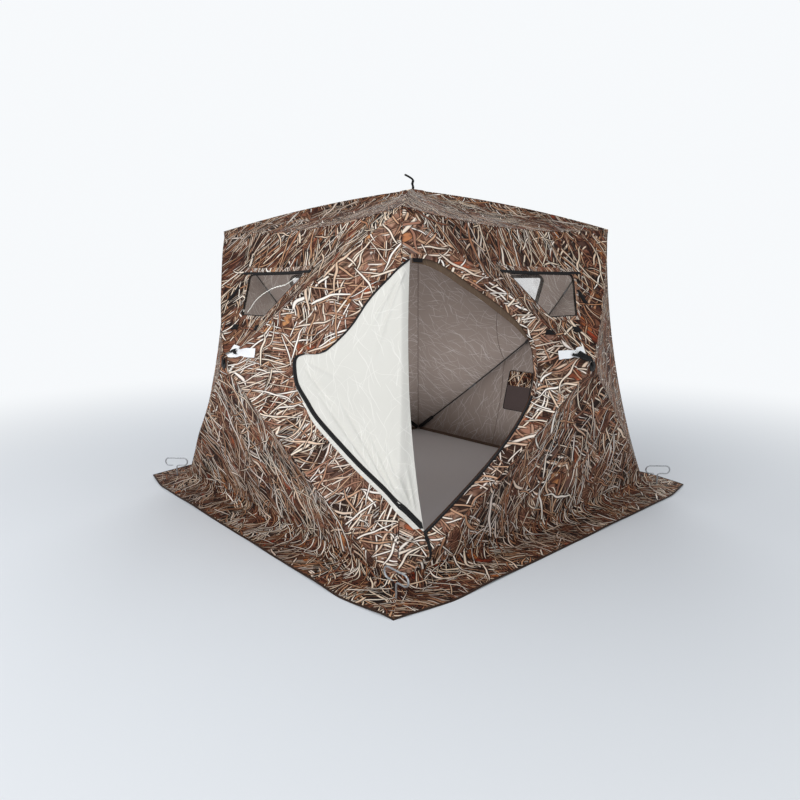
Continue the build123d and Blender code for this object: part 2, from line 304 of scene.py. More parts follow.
def rounded(corners, radius):
    """A closed outline with its corners rounded by short curves."""
    out = []
    for i in range(len(corners)):
        before, corner, after = (np.array(corners[(i + k) % len(corners)], float) for k in (-1, 0, 1))
        u, v = unit(before - corner), unit(after - corner)
        half = math.acos(max(-1, min(1, float(u @ v)))) / 2
        room = min(np.linalg.norm(before - corner), np.linalg.norm(after - corner))
        reach = min(radius / math.tan(half), 0.48 * room)
        start, end = corner + u * reach, corner + v * reach
        out += [tuple(bend(start, corner, end, t)) for t in np.linspace(0, 1, 6)]
    return out


# Materials

class Nodes:
    """A thin wrapper that adds nodes and joins them in one call."""

    def __init__(self, tree):
        self.tree = tree

    def feed(self, socket, value):
        """Join a socket to another, or set its value. A colour of three numbers becomes opaque."""
        if isinstance(value, bpy.types.NodeSocket):
            self.tree.links.new(value, socket)
        elif socket.type == "RGBA" and len(value) == 3:
            socket.default_value = (*value, 1)
        else:
            socket.default_value = value

    def add(self, kind, values=None, **settings):
        node = self.tree.nodes.new(kind)
        for key, value in settings.items():
            setattr(node, key, value)
        for key, value in (values or {}).items():
            self.feed(node.inputs[key], value)
        return node

    def end(self, shader, kind="ShaderNodeOutputMaterial"):
        self.add(kind, {0: shader.outputs[0]})

    def math(self, operation, a, b=0.0, clamp=False):
        return self.add("ShaderNodeMath", {0: a, 1: b}, operation=operation, use_clamp=clamp).outputs[0]

    def plus(self, a, b):
        return self.math("ADD", a, b)

    def minus(self, a, b, clamp=False):
        return self.math("SUBTRACT", a, b, clamp)

    def times(self, a, b):
        return self.math("MULTIPLY", a, b)

    def over(self, a, b, clamp=False):
        return self.math("DIVIDE", a, b, clamp)

    def vector(self, operation, a, b=(0.0, 0.0, 0.0)):
        return self.add("ShaderNodeVectorMath", {0: a, 1: b}, operation=operation).outputs[0]

    def scaled(self, vector, factor):
        values = {0: vector, "Scale": factor}
        return self.add("ShaderNodeVectorMath", values, operation="SCALE").outputs[0]

    def parts(self, vector):
        return self.add("ShaderNodeSeparateXYZ", {0: vector}).outputs

    def channels(self, colour):
        return self.add("ShaderNodeSeparateColor", {0: colour}).outputs

    def mix(self, factor, a, b, blend="MIX"):
        values = {0: factor, 6: a, 7: b}
        return self.add("ShaderNodeMix", values, data_type="RGBA", blend_type=blend).outputs[2]

    def ramp(self, factor, low, high):
        values = {"Value": factor, "From Min": low, "From Max": high}
        return self.add("ShaderNodeMapRange", values, interpolation_type="SMOOTHSTEP").outputs[0]

    def noise(self, vector, scale, detail, dimensions="2D"):
        values = {"Vector": vector, "Scale": scale, "Detail": detail}
        return self.add("ShaderNodeTexNoise", values, noise_dimensions=dimensions).outputs

    def bump(self, height, strength, distance):
        values = {"Height": height, "Strength": strength, "Distance": distance}
        return self.add("ShaderNodeBump", values).outputs[0]


def srgb(value):
    """A colour written as six hexadecimal digits, as linear light."""
    parts = [int(value[i:i + 2], 16) / 255 for i in (0, 2, 4)]
    return tuple(p / 12.92 if p <= 0.04045 else ((p + 0.055) / 1.055) ** 2.4 for p in parts)


# What a layer of blades is told, in order
BLADE_INPUTS = ("Turn", "Length", "Spacing", "Width", "Curl", "Fan", "Share", "Seed")
# Soft edge of a blade, and how far its shadow reaches past it
BLADE_SOFT = 0.0008
BLADE_SHADOW = 0.0048


def blade_group():
    """Long leaf blades, one in each stretched cell of a layer, each with a soft shadow."""
    tree = bpy.data.node_groups.new("reed_blades", "ShaderNodeTree")
    face = tree.interface
    face.new_socket("Vector", in_out="INPUT", socket_type="NodeSocketVector")
    for name in BLADE_INPUTS:
        face.new_socket(name, in_out="INPUT", socket_type="NodeSocketFloat")
    for name in ("Blade", "Shade", "Pick", "Edge"):
        face.new_socket(name, in_out="OUTPUT", socket_type="NodeSocketFloat")
    n = Nodes(tree)
    given = n.add("NodeGroupInput").outputs
    spacing = given["Spacing"]
    offset = n.scaled((7.31, 3.77, 0.0), given["Seed"])
    place = {"Vector": n.vector("ADD", given["Vector"], offset), "Angle": given["Turn"]}
    x, y = n.parts(n.add("ShaderNodeVectorRotate", place, rotation_type="Z_AXIS").outputs[0])[:2]
    stretched = {0: n.over(x, given["Length"]), 1: n.over(y, spacing)}
    stretched = n.add("ShaderNodeCombineXYZ", stretched).outputs[0]
    cell = {"Vector": stretched, "Scale": 1.0}
    cell = n.add("ShaderNodeTexVoronoi", cell, voronoi_dimensions="2D").outputs
    dx, dy = n.parts(n.vector("SUBTRACT", cell["Position"], stretched))[:2]
    random = n.channels(cell["Color"])
    dx2 = n.times(dx, dx)
    curl = n.times(n.minus(random[0], 0.5), given["Curl"])
    tilt = n.times(n.minus(random[1], 0.5), given["Fan"])
    dy = n.plus(dy, n.times(dx2, curl))
    dy = n.plus(dy, n.times(dx, tilt))
    distance = n.math("ABSOLUTE", dy)
    pick = n.math("FRACT", n.times(random[2], 37.7))
    half = n.over(given["Width"], n.times(spacing, 2.0))
    half = n.times(half, n.plus(0.65, n.times(random[0], 0.7)))
    taper = n.minus(1.0, n.times(dx2, 4.2), clamp=True)
    half = n.times(half, n.math("POWER", taper, 0.6))
    exists = n.math("LESS_THAN", random[2], given["Share"])
    soft = n.over(BLADE_SOFT, spacing)
    blade = n.times(n.over(n.minus(half, distance), soft, clamp=True), exists)
    wide = n.plus(half, n.over(BLADE_SHADOW, spacing))
    wide = n.times(wide, n.math("GREATER_THAN", half, 0.001))
    shade = n.times(n.over(n.minus(wide, distance), n.times(soft, 3.5), clamp=True), exists)
    rim = n.over(distance, half, clamp=True)
    n.add("NodeGroupOutput", {"Blade": blade, "Shade": shade, "Pick": pick, "Edge": rim})
    return tree


BLADES = blade_group()

# Colours of the print, from the ground of the design up to the palest blades
EARTH = srgb("341c12")
MUD = srgb("6d4636")
CLAY = srgb("a0735e")
DUST = srgb("c59d84")
MAUVE = srgb("a37f74")
STRAW = srgb("d6ae8b")
CREAM = srgb("f5e8d6")
BONE = srgb("fffaf2")
RUST = srgb("a8583a")
GOLD = srgb("c68d5e")
SHADOW = srgb("1b0e09")


def blades(n, vector, layer):
    """One layer of the print. Its turn is in degrees, and its sizes are in metres."""
    values = dict(zip(BLADE_INPUTS, (math.radians(layer[0]), *layer[1:])))
    return n.add("ShaderNodeGroup", values | {"Vector": vector}, node_tree=BLADES).outputs


# Layers of blades, each: turn, length, spacing, width, curl, fan, share, seed
UNDER_LAYERS = [
    ((70, 0.13, 0.024, 0.0075, 2.2, 1.4, 0.80, 1.3), MUD, EARTH),
    ((-35, 0.12, 0.026, 0.0080, 2.2, 1.4, 0.75, 2.7), CLAY, MUD),
    ((15, 0.14, 0.030, 0.0075, 2.2, 1.6, 0.60, 4.1), DUST, CLAY),
    ((105, 0.15, 0.034, 0.0070, 2.4, 1.6, 0.70, 5.9), STRAW, CLAY),
]
LEAF_LAYER = (62, 0.105, 0.075, 0.042, 1.6, 0.8, 0.26, 7.7)
PALE_LAYERS = [
    (38, 0.14, 0.042, 0.0060, 1.9, 1.9, 0.50, 9.2),
    (118, 0.15, 0.044, 0.0062, 1.9, 1.9, 0.55, 10.4),
    (82, 0.17, 0.048, 0.0070, 1.9, 1.9, 0.55, 15.8),
    (152, 0.17, 0.058, 0.0070, 1.9, 1.9, 0.38, 17.5),
    (57, 0.22, 0.066, 0.0085, 2.0, 1.9, 0.50, 19.9),
    (104, 0.23, 0.068, 0.0085, 2.0, 1.9, 0.48, 23.3),
    (22, 0.21, 0.082, 0.0090, 2.0, 1.9, 0.32, 26.1),
    (76, 0.28, 0.100, 0.0105, 2.0, 1.9, 0.40, 31.2),
]
# Bundles of reeds side by side, each within patches of its own
BUNDLE_LAYERS = [
    (66, 0.26, 0.0165, 0.0070, 3.0, 1.5, 0.84, 33.7),
    (112, 0.24, 0.0150, 0.0062, 3.0, 1.5, 0.82, 36.1),
    (28, 0.22, 0.0160, 0.0066, 3.0, 1.5, 0.82, 39.4),
]


def bent_cloth(n, vector):
    """The print's own flow: a slow bend and a small one laid over the cloth."""
    bends = []
    for scale, reach in ((1.9, 0.14), (7.5, 0.040)):
        offset = n.vector("SUBTRACT", n.noise(vector, scale, 1.0)["Color"], (0.5, 0.5, 0.5))
        bends.append(n.scaled(offset, reach))
    return n.vector("ADD", vector, n.vector("ADD", *bends))


def reed_colour(n, made, dense):
    """The colour of one layer's blades, from clay to bone, duller where the print is dense."""
    colour = n.mix(n.ramp(made["Pick"], 0.0, 0.40), CLAY, STRAW)
    colour = n.mix(n.ramp(made["Pick"], 0.28, 0.55), colour, CREAM)
    colour = n.mix(n.ramp(made["Pick"], 0.65, 0.90), colour, BONE)
    colour = n.mix(n.times(made["Edge"], 0.35), colour, CLAY)
    return n.mix(n.times(dense, 0.25), colour, CLAY)


def reed_print(n, vector):
    """The generic dry-reed print of the outer cloth, as one colour."""
    flow = bent_cloth(n, vector)
    big = n.noise(vector, 5.0, 3.0)
    fine = n.noise(flow, 26.0, 4.0)["Fac"]
    dense = n.ramp(n.noise(vector, 2.1, 1.5)["Fac"], 0.46, 0.66)
    colour = n.mix(n.ramp(big["Fac"], 0.40, 0.60), MUD, DUST)
    colour = n.mix(n.ramp(fine, 0.45, 0.60), colour, CLAY)
    fields = n.channels(big["Color"])
    colour = n.mix(n.times(n.ramp(fields[1], 0.50, 0.58), 0.7), colour, MAUVE)
    colour = n.mix(n.times(n.ramp(fields[2], 0.52, 0.60), 0.75), colour, EARTH)
    for layer, light, deep in UNDER_LAYERS:
        made = blades(n, flow, layer)
        colour = n.mix(n.times(made["Shade"], 0.60), colour, SHADOW)
        colour = n.mix(made["Blade"], colour, n.mix(made["Pick"], deep, light))
    colour = n.mix(n.times(dense, 0.40), colour, EARTH)
    leaf = blades(n, flow, LEAF_LAYER)
    colour = n.mix(n.times(leaf["Shade"], 0.7), colour, SHADOW)
    leaf_colour = n.mix(n.ramp(leaf["Pick"], 0.3, 0.7), GOLD, RUST)
    leaf_colour = n.mix(n.ramp(fine, 0.40, 0.60), MUD, leaf_colour)
    colour = n.mix(leaf["Blade"], colour, leaf_colour)
    for layer, field in zip(BUNDLE_LAYERS, fields):
        made = blades(n, flow, layer)
        inside = n.ramp(field, 0.53, 0.55)
        colour = n.mix(n.times(inside, 0.50), colour, SHADOW)
        colour = n.mix(n.times(made["Blade"], inside), colour, reed_colour(n, made, dense))
    for layer in PALE_LAYERS:
        made = blades(n, flow, layer)
        colour = n.mix(n.times(made["Shade"], 0.72), colour, SHADOW)
        colour = n.mix(made["Blade"], colour, reed_colour(n, made, dense))
    return colour


# How strongly cloth and plastic gloss, and the finest patterns of cloth, tape and zip
SHEEN_LEVEL = 0.22
WEAVE_WAVE = 1800.0
TAPE_WAVE = 420.0 * math.pi
STITCH_PITCH = 0.006
COIL_PITCH = 0.0026


def weave_bump(n, vector, strength=0.25):
    """Crossing threads on slightly uneven cloth."""
    warp, weft = (n.math("SINE", n.times(part, WEAVE_WAVE)) for part in n.parts(vector)[:2])
    height = n.plus(n.times(n.times(warp, weft), 0.25), n.noise(vector, 60.0, 4.0)["Fac"])
    return n.bump(height, strength, 0.0004)


def new_material(name):
    material = bpy.data.materials.new(name)
    material.use_nodes = True
    material.node_tree.nodes.clear()
    return material, Nodes(material.node_tree)


def finish_material(n, material, colour, normal, roughness, metallic=0.0):
    values = {"Base Color": colour, "Normal": normal, "Roughness": roughness, "Metallic": metallic}
    values["Specular IOR Level"] = SHEEN_LEVEL
    n.end(n.add("ShaderNodeBsdfPrincipled", values))
    return material


def cloth_uv(n):
    return n.add("ShaderNodeUVMap", uv_map="cloth").outputs[0]


def camo_material(name, depth):
    """The printed outer cloth. A depth over 1 darkens its middle tones and leaves its pale reeds, which makes
    a shaded copy of the print: painted shade.
    """
    material, n = new_material(name)
    vector = cloth_uv(n)
    colour = reed_print(n, vector)
    if depth != 1:
        colour = n.add("ShaderNodeGamma", {"Color": colour, "Gamma": depth}).outputs[0]
    return finish_material(n, material, colour, weave_bump(n, vector), 0.82)


# Layers of the print that show through the lining, each with its strength
GHOST_LAYERS = [
    ((52, 0.16, 0.050, 0.0042, 1.9, 1.9, 0.62, 9.2), 1.0),
    ((128, 0.17, 0.048, 0.0040, 1.9, 1.9, 0.55, 11.4), 0.8),
    ((86, 0.20, 0.056, 0.0046, 2.0, 1.9, 0.60, 15.8), 0.9),
    ((20, 0.16, 0.060, 0.0040, 1.9, 1.9, 0.50, 21.8), 0.7),
    ((108, 0.14, 0.044, 0.0038, 1.9, 1.9, 0.55, 27.1), 0.6),
    ((68, 0.22, 0.052, 0.0044, 2.0, 1.9, 0.60, 29.9), 1.0),
]


def ghost_material(name, ground, pale, amount, stains=0.06):
    """Lining cloth with the print showing faintly through."""
    material, n = new_material(name)
    vector = cloth_uv(n)
    flow = bent_cloth(n, vector)
    shade = n.plus(1 - stains, n.times(n.noise(vector, 3.0, 4.0)["Fac"], 2 * stains))
    grey = n.add("ShaderNodeCombineColor", {0: shade, 1: shade, 2: shade}).outputs[0]
    colour = n.mix(1.0, srgb(ground), grey, "MULTIPLY")
    for layer, part in GHOST_LAYERS:
        made = blades(n, flow, layer)
        colour = n.mix(n.times(made["Blade"], amount * part), colour, srgb(pale))
    return finish_material(n, material, colour, weave_bump(n, vector, 0.2), 0.85)


def plain_material(name, colour, roughness, bump, scale, wear=None, metallic=0.0):
    """Moulded, drawn or coated stuff: a fine grain, and paler where it is worn."""
    material, n = new_material(name)
    grain = n.noise(n.add("ShaderNodeTexCoord").outputs["Object"], scale, 5.0, "3D")["Fac"]
    colour = srgb(colour)
    worn = srgb(wear) if wear else tuple(1.35 * c + 0.004 for c in colour)
    mixed = n.mix(n.ramp(grain, 0.35, 0.70), colour, worn)
    return finish_material(n, material, mixed, n.bump(grain, bump, 0.0006), roughness, metallic)


def tape_material(name, colour, stitch):
    """Woven tape: ribs along its length, lighter on their tops as painted highlight, and a row of stitches
    near each edge.
    """
    material, n = new_material(name)
    colour = srgb(colour)
    along, over = n.parts(cloth_uv(n))[:2]
    height = n.times(n.math("SINE", n.times(over, TAPE_WAVE)), n.math("SINE", n.times(along, TAPE_WAVE)))
    # The raised ribs are lighter than the hollows between them: painted highlight.
    lit_ribs = n.mix(n.ramp(height, -1.0, 1.0), colour, tuple(1.6 * c + 0.003 for c in colour))
    across = n.add("ShaderNodeAttribute", attribute_name="across").outputs["Fac"]
    from_row = n.math("ABSOLUTE", n.minus(n.math("ABSOLUTE", across), 0.72))
    dash = n.math("FRACT", n.over(along, STITCH_PITCH))
    sewn = n.times(n.math("LESS_THAN", from_row, 0.07), n.math("LESS_THAN", dash, 0.62))
    lit_ribs = n.mix(sewn, lit_ribs, srgb(stitch))
    normal = n.bump(n.plus(height, n.times(sewn, 2.0)), 0.5, 0.0004)
    return finish_material(n, material, lit_ribs, normal, 0.75)


def coil_material():
    """The teeth of a coil zip, as fine cross ridges, lighter on their crests: painted highlight."""
    material, n = new_material("zip_coil")
    wave = n.math("SINE", n.times(n.parts(cloth_uv(n))[0], 2 * math.pi / COIL_PITCH))
    # Lighter crests and darker gaps follow the ridges' height: painted highlight and shade.
    colour = n.mix(n.ramp(wave, -1.0, 1.0), srgb("0d0d0e"), srgb("3b3b3d"))
    return finish_material(n, material, colour, n.bump(wave, 0.8, 0.0006), 0.45)


def film_material():
    """Clear film, a little smoky, with faint cloudy rub marks."""
    material, n = new_material("window_film")
    rubbed = n.ramp(n.noise(cloth_uv(n), 9.0, 5.0)["Fac"], 0.50, 0.75)
    colour = n.mix(rubbed, srgb("6b5d52"), srgb("968b80"))
    alpha = n.plus(0.12, n.times(rubbed, 0.10))
    values = {"Base Color": colour, "Roughness": 0.16, "Alpha": alpha, "Specular IOR Level": 0.35}
    n.end(n.add("ShaderNodeBsdfPrincipled", values))
    return material


CAMO = camo_material("reed_print_cloth", 1.0)
# Darker copies of the same print for the foot gores, the top gores and roof, and the skirt, seam welts and
# pocket top: painted shade.
CAMO_FOOT_SHADED = camo_material("reed_print_foot_painted_shade", 1.2)
CAMO_ROOF_SHADED = camo_material("reed_print_roof_painted_shade", 1.4)
CAMO_SKIRT_SHADED = camo_material("reed_print_skirt_painted_shade", 1.55)
# The lining's own colour is the pale grey of the door flap; this darker grey-brown copy inside the walls and
# roof is painted shade.
LINING_SHADED = ghost_material("lining_painted_shade", "8b807a", "b3adaa", 0.75)
# The draft band's inward face is coloured dark brown for the shade it lies in: painted shade.
DRAFT_BAND_SHADED = ghost_material("draft_band_painted_shade", "5d4c3e", "75634f", 0.4)
PALE_LINING = ghost_material("pale_lining", "dad8d1", "f0eee8", 0.50, 0.03)
BLACK_TAPE = tape_material("black_webbing", "141314", "2c2b2c")
SEAM_TAPE = tape_material("grey_seam_tape", "61564f", "5a5049")
HEM_TAPE = tape_material("brown_hem_tape", "2e211a", "4a392e")
INNER_HEM = tape_material("inner_hem_tape", "584a40", "514339")
COIL = coil_material()
HOOK_PATCH = plain_material("hook_patch", "151314", 0.95, 0.9, 900.0)
BLACK_PLASTIC = plain_material("black_moulded_plastic", "161617", 0.45, 0.2, 90.0)
POLE = plain_material("black_rod", "121212", 0.32, 0.1, 60.0)
FERRULE = plain_material("pole_ferrule", "55585b", 0.40, 0.1, 150.0, metallic=1.0)
ZINC = plain_material("zinc_wire", "c9cdd1", 0.42, 0.3, 180.0, wear="94999e", metallic=0.75)
REFLECTIVE = plain_material("reflective_tag", "f2f3f5", 0.35, 0.15, 200.0, wear="fbfbfc")
MESH = plain_material("dark_pocket_mesh", "463c3b", 0.9, 0.8, 500.0)
FILM = film_material()
# Pale strips along the film's creases stand for the glare on them: painted highlight.
CREASE_GLARE = plain_material("film_crease_painted_glare", "e6e4de", 0.5, 0.2, 300.0)

# Skins and strips

class Skin:
    """The outer or inner face of one wall before its holes are cut, to lay other pieces on."""

    def __init__(self, side, inner=False):
        self.side = side
        self.towards = 1 if inner else -1
        grid = wall_grid(INNER_DEPTH if inner else 0.0, WALL_SEED + side)
        rows, cols = grid.shape[:2]
        faces = [tuple(range(cols))]
        for low in range(0, (rows - 1) * cols, cols):
            for c in range(cols):
                d = (c + 1) % cols
                faces.append((low + c, low + cols + c, low + cols + d, low + d))
        self.tree = BVHTree.FromPolygons([Vector(point) for point in grid.reshape(-1, 3)], faces)

    def frame(self, place, height):
        hit, normal = self.tree.ray_cast(Vector((place, -3, height)), Vector((0, 1, 0)))[:2]
        if hit is None:
            reach = float(seam_reach(min(1.0, max(0.0, height / CORNER_HEIGHT))))
            hit, normal = self.tree.find_nearest(Vector((place, -reach, height)))[:2]
        return np.array(hit), np.array(-normal if normal.y * self.towards < 0 else normal)

    def at(self, place, height, lift=0.0):
        point, normal = self.frame(place, height)
        return point + normal * lift


OUTSIDE = [Skin(side) for side in range(4)]
INSIDE = [Skin(side, inner=True) for side in range(4)]


def laid(skin, spots, lifts):
    """A grid of points on a skin, from the place and height of each and its lift over the skin."""
    points = [[skin.at(*spot, lift) for spot, lift in zip(*row)] for row in zip(spots, lifts)]
    return turned(points, skin.side)


def unit_grid(rows, cols):
    """The place of each point of an even grid, up and along, both from 0 to 1."""
    return np.meshgrid(np.linspace(0, 1, rows), np.linspace(0, 1, cols), indexing="ij")


def shell(name, top, under, uv, materials, kind=None, wrap=False, across=None, smooth=40):
    """A closed sheet between two equal grids of points. With wrap, its rows close into a loop."""
    rows, cols = top.shape[:2]
    base = rows * cols
    verts = np.concatenate([top.reshape(-1, 3), under.reshape(-1, 3)])
    faces, kinds = [], []
    for r in range(rows if wrap else rows - 1):
        a, b = r * cols, (r + 1) % rows * cols
        for c in range(cols - 1):
            faces.append((a + c, b + c, b + c + 1, a + c + 1))
            faces.append((base + a + c, base + a + c + 1, base + b + c + 1, base + b + c))
            kinds += [0, 0] if kind is None else [kind[r][c], kind[r][c]]
        for c in (0, cols - 1):
            faces.append((a + c, b + c, base + b + c, base + a + c))
            kinds.append(0 if kind is None else kind[r][min(c, cols - 2)])
    if not wrap:
        for r in (0, rows - 1):
            for c in range(cols - 1):
                a = r * cols + c
                faces.append((a, a + 1, base + a + 1, base + a))
                kinds.append(0 if kind is None else kind[min(r, rows - 2)][c])
    uv = np.concatenate([uv.reshape(-1, 2)] * 2)
    if across is not None:
        across = np.concatenate([across.ravel()] * 2)
    obj = new_object(name, verts, faces, uv, kinds, materials, 0, across)
    face_outwards(obj)
    obj.data.set_sharp_from_angle(angle=math.radians(smooth))
    return obj


def spaced(path, step, closed=False):
    """Points at even steps along a line of points, and their distance along it."""
    path = np.array(path, float)
    if closed:
        path = np.concatenate([path, path[:1]])
    runs = np.linalg.norm(np.diff(path[:, :2], axis=0), axis=1)
    lengths = np.concatenate([[0], np.cumsum(runs)])
    at = np.linspace(0, lengths[-1], max(2, round(lengths[-1] / step)) + 1)
    line = np.stack([np.interp(at, lengths, path[:, k]) for k in range(path.shape[1])], -1)
    return (line[:-1], at[:-1]) if closed else (line, at)


def curved(points, steps=8):
    """A smooth line through points (Catmull-Rom)."""
    p = np.array(points, float)
    p = np.concatenate([[2 * p[0] - p[1]], p, [2 * p[-1] - p[-2]]])
    out = []
    for i in range(1, len(p) - 2):
        for k in range(steps):
            t = k / steps
            out.append(0.5 * (
                2 * p[i] + (p[i + 1] - p[i - 1]) * t
                + (2 * p[i - 1] - 5 * p[i] + 4 * p[i + 1] - p[i + 2]) * t**2
                + (3 * p[i] - p[i - 1] - 3 * p[i + 1] + p[i + 2]) * t**3
            ))
    return np.array(out + [p[-2]])


# Section of a tape: place across it as a share of its width, and height as a share of its thickness
TAPE_SECTION = [(-0.5, 0.35), (-0.42, 0.92), (0.0, 1.0), (0.42, 0.92), (0.5, 0.35)]
LAY = 0.0006


def ribbon(name, skin, path, width, thick, material, lift=LAY, closed=False, step=0.012, print_shift=None):
    """A tape laid on a skin along a path of (place, height), or (place, height, own lift)."""
    line, along = spaced(path, step, closed)
    if closed:
        tangent = np.roll(line, -1, axis=0) - np.roll(line, 1, axis=0)
    else:
        tangent = np.gradient(line, axis=0)
    across = left_of(units(tangent[:, :2]))
    offsets, rises = np.array(TAPE_SECTION).T
    spots = line[:, None, :2] + across[:, None] * width * offsets[:, None]
    lifts = lift + (line[:, 2:] if line.shape[1] > 2 else np.zeros((len(line), 1))) + 0 * rises
    top, under = laid(skin, spots, lifts + thick * rises), laid(skin, spots, lifts)
    if print_shift is None:
        uv = np.stack(np.broadcast_arrays(along[:, None], offsets * width), -1)
    else:
        uv = spots + (print_shift, 0)
    section = np.tile(2 * offsets, (len(line), 1))
    return shell(name, top, under, uv, [material], wrap=closed, across=section)


def frames_along(line):
    """Directions along a line and a steady pair of directions across it."""
    tangent = units(np.gradient(line, axis=0))
    current = np.cross(tangent[0], (0, 0, 1) if abs(tangent[0][2]) < 0.9 else (0, 1, 0))
    sides = []
    for t in tangent:
        current = unit(current - t * (current @ t))
        sides.append(current)
    return tangent, np.array(sides), np.cross(tangent, sides)


def ring_faces(rings, sides):
    """Faces of a closed body made of equal rings of points."""
    faces = []
    for low in range(0, (rings - 1) * sides, sides):
        for k in range(sides):
            j = (k + 1) % sides
            faces.append((low + k, low + j, low + sides + j, low + sides + k))
    faces.append(tuple(reversed(range(sides))))
    faces.append(tuple((rings - 1) * sides + k for k in range(sides)))
    return faces


def tube(line, radius, sides, flat=1.0, lead=None):
    """Points and faces of a closed tube. Its radius may change along it, and flat widens it one way."""
    line = np.array(line, float)
    tangent, first, second = frames_along(line)
    if lead is not None:
        lead = np.array(lead, float)
        first = units(lead - tangent * (tangent @ lead)[:, None])
        second = np.cross(tangent, first)
    radius = np.broadcast_to(np.asarray(radius, float), (len(line),))
    verts = []
    for point, size, one, other in zip(line, radius, first, second):
        for k in range(sides):
            a = 2 * math.pi * k / sides
            verts.append(point + size * (one * math.cos(a) * flat + other * math.sin(a)))
    return verts, ring_faces(len(line), sides)


def rounded_ends(line, radius):
    """A line with extra points at both ends, and the radii that round them off."""
    first, last = unit(line[0] - line[1]), unit(line[-1] - line[-2])
    turns = [math.pi / 8 * k for k in range(1, 5)]
    head = [line[0] - first * radius * (1 - math.sin(a)) for a in reversed(turns)]
    tail = [line[-1] - last * radius * (1 - math.sin(a)) for a in turns]
    ends = [radius * max(math.cos(a), 0.08) for a in turns]
    middle = line[1:-1]
    return np.array([*head, *middle, *tail]), [*ends[::-1], *[radius] * len(middle), *ends]


LATHE_SIDES = 32


def lathe(profile, origin, axis):
    """A closed turned body from (radius, height) points, from its foot to its top."""
    axis = unit(axis)
    side = unit(np.cross(axis, (0, 0, 1)) if abs(axis[2]) < 0.9 else (1, 0, 0))
    other = np.cross(axis, side)
    verts = []
    for radius, height in profile:
        for k in range(LATHE_SIDES):
            a = 2 * math.pi * k / LATHE_SIDES
            verts.append(origin + axis * height + radius * (side * math.cos(a) + other * math.sin(a)))
    return verts, ring_faces(len(profile), LATHE_SIDES)


def joined(name, parts, materials):
    """One object from several (points, faces, material index) parts."""
    verts, faces, kinds = [], [], []
    for points, own_faces, kind in parts:
        start = len(verts)
        verts += [tuple(map(float, point)) for point in points]
        faces += [tuple(start + i for i in face) for face in own_faces]
        kinds += [kind] * len(own_faces)
    uv = np.array([(v[0] + v[1], v[2]) for v in verts])
    obj = new_object(name, verts, faces, uv, kinds, materials)
    return face_outwards(obj)


# Outlines on the walls, as (place, height)
WINDOW_RISE = 0.252
WINDOW_HEIGHT = 0.246
WINDOW_LOW = HUB_HEIGHT + WINDOW_RISE
WINDOW_TOP = WINDOW_LOW + WINDOW_HEIGHT
WINDOW_TOP_HALF = 0.322
WINDOW_LOW_HALF = 0.132
WINDOW_CORNERS = [
    (-WINDOW_TOP_HALF, WINDOW_TOP), (-WINDOW_LOW_HALF, WINDOW_LOW),
    (WINDOW_LOW_HALF, WINDOW_LOW), (WINDOW_TOP_HALF, WINDOW_TOP),
]
WINDOW = rounded(WINDOW_CORNERS, 0.026)
DOOR_TOP = (-0.895, 1.530)
DOOR_MIDDLE = (-0.958, 0.860)
DOOR_BOTTOM = (-1.008, 0.232)
DOOR_SPOTS = [
    DOOR_TOP, (-0.769, 1.508), (-0.572, 1.366), (-0.451, 1.274), (-0.347, 1.161), (-0.306, 1.020),
    (-0.347, 0.838), (-0.582, 0.577), DOOR_BOTTOM,
]
DOOR_EDGE = curved(DOOR_SPOTS, 5)
DOOR = [tuple(spot) for spot in reversed(DOOR_EDGE)] + [DOOR_MIDDLE]


def beside(line, distance):
    """An open line moved sideways, to its left where the distance is positive."""
    line = np.asarray(line, float)
    return line + left_of(units(np.gradient(line, axis=0))) * distance

# Walls

# How far the print is moved along on each wall
WALL_SHIFT = (0.0, 2.9, 5.3, 8.1)
# How the print lies on the four gores of a wall, from the foot round to the left:
# turn in degrees, scale, shift and material; the darker materials of the foot and top gores are painted shade
GORE_PRINT = (
    (0, 0.80, (0.0, 0.0), 2),
    (68, 1.0, (1.3, 0.6), 0),
    (24, 0.80, (3.1, 2.2), 3),
    (-74, 0.90, (5.2, 1.1), 0),
)


def gore_at(place, height):
    """The gore of a wall under a spot: 0 foot, 1 right, 2 top, 3 left."""
    rise = height - HUB_HEIGHT
    foot = HUB_HEIGHT / BASE_HALF
    top = (CORNER_HEIGHT - HUB_HEIGHT) / TOP_HALF
    if rise < -foot * abs(place):
        return 0
    if rise > top * abs(place):
        return 2
    return 1 if place > 0 else 3


def lay_print(obj, side):
    """Turn and shift the print of each gore, because each is a piece of cloth of its own, and give the foot
    and top gores the darker copies of the print, which are painted shade.
    """
    layer = obj.data.uv_layers["cloth"].data
    for face in obj.data.polygons:
        turn, scale, (along, up), material = GORE_PRINT[gore_at(face.center.x, face.center.z)]
        along += WALL_SHIFT[side]
        c, s = scale * math.cos(math.radians(turn)), scale * math.sin(math.radians(turn))
        for corner in face.loop_indices:
            place, height = layer[corner].uv
            layer[corner].uv = (c * place - s * height + along, s * place + c * height + up)
        if face.material_index == 0:
            face.material_index = material


# Square metres of cloth in a wall's cut and in its door opening
WALL_AREA = 4.2
DOOR_AREA = 0.6


def make_wall(side):
    name = SIDES[side]
    outer, inner = (wall_grid(depth, WALL_SEED + side) for depth in (0.0, INNER_DEPTH))
    verts, faces, kind = closed_rings(outer, inner)
    # The lining and the darker print copies of the foot and top gores are painted shade.
    materials = [CAMO, LINING_SHADED, CAMO_FOOT_SHADED, CAMO_ROOF_SHADED]
    obj = new_object(f"{name}_wall_cloth", verts, faces, verts[:, [0, 2]], kind, materials)
    lay_print(obj, side)
    cut(obj, prism(WINDOW))
    area = WALL_AREA
    if name == "right":
        cut(obj, prism(DOOR))
        area -= DOOR_AREA
    obj.data.transform(Matrix.Rotation(math.radians(90 * side), 4, "Z"))
    obj.data.set_sharp_from_angle(angle=math.radians(40))
    piece(obj, f"{name}_wall")


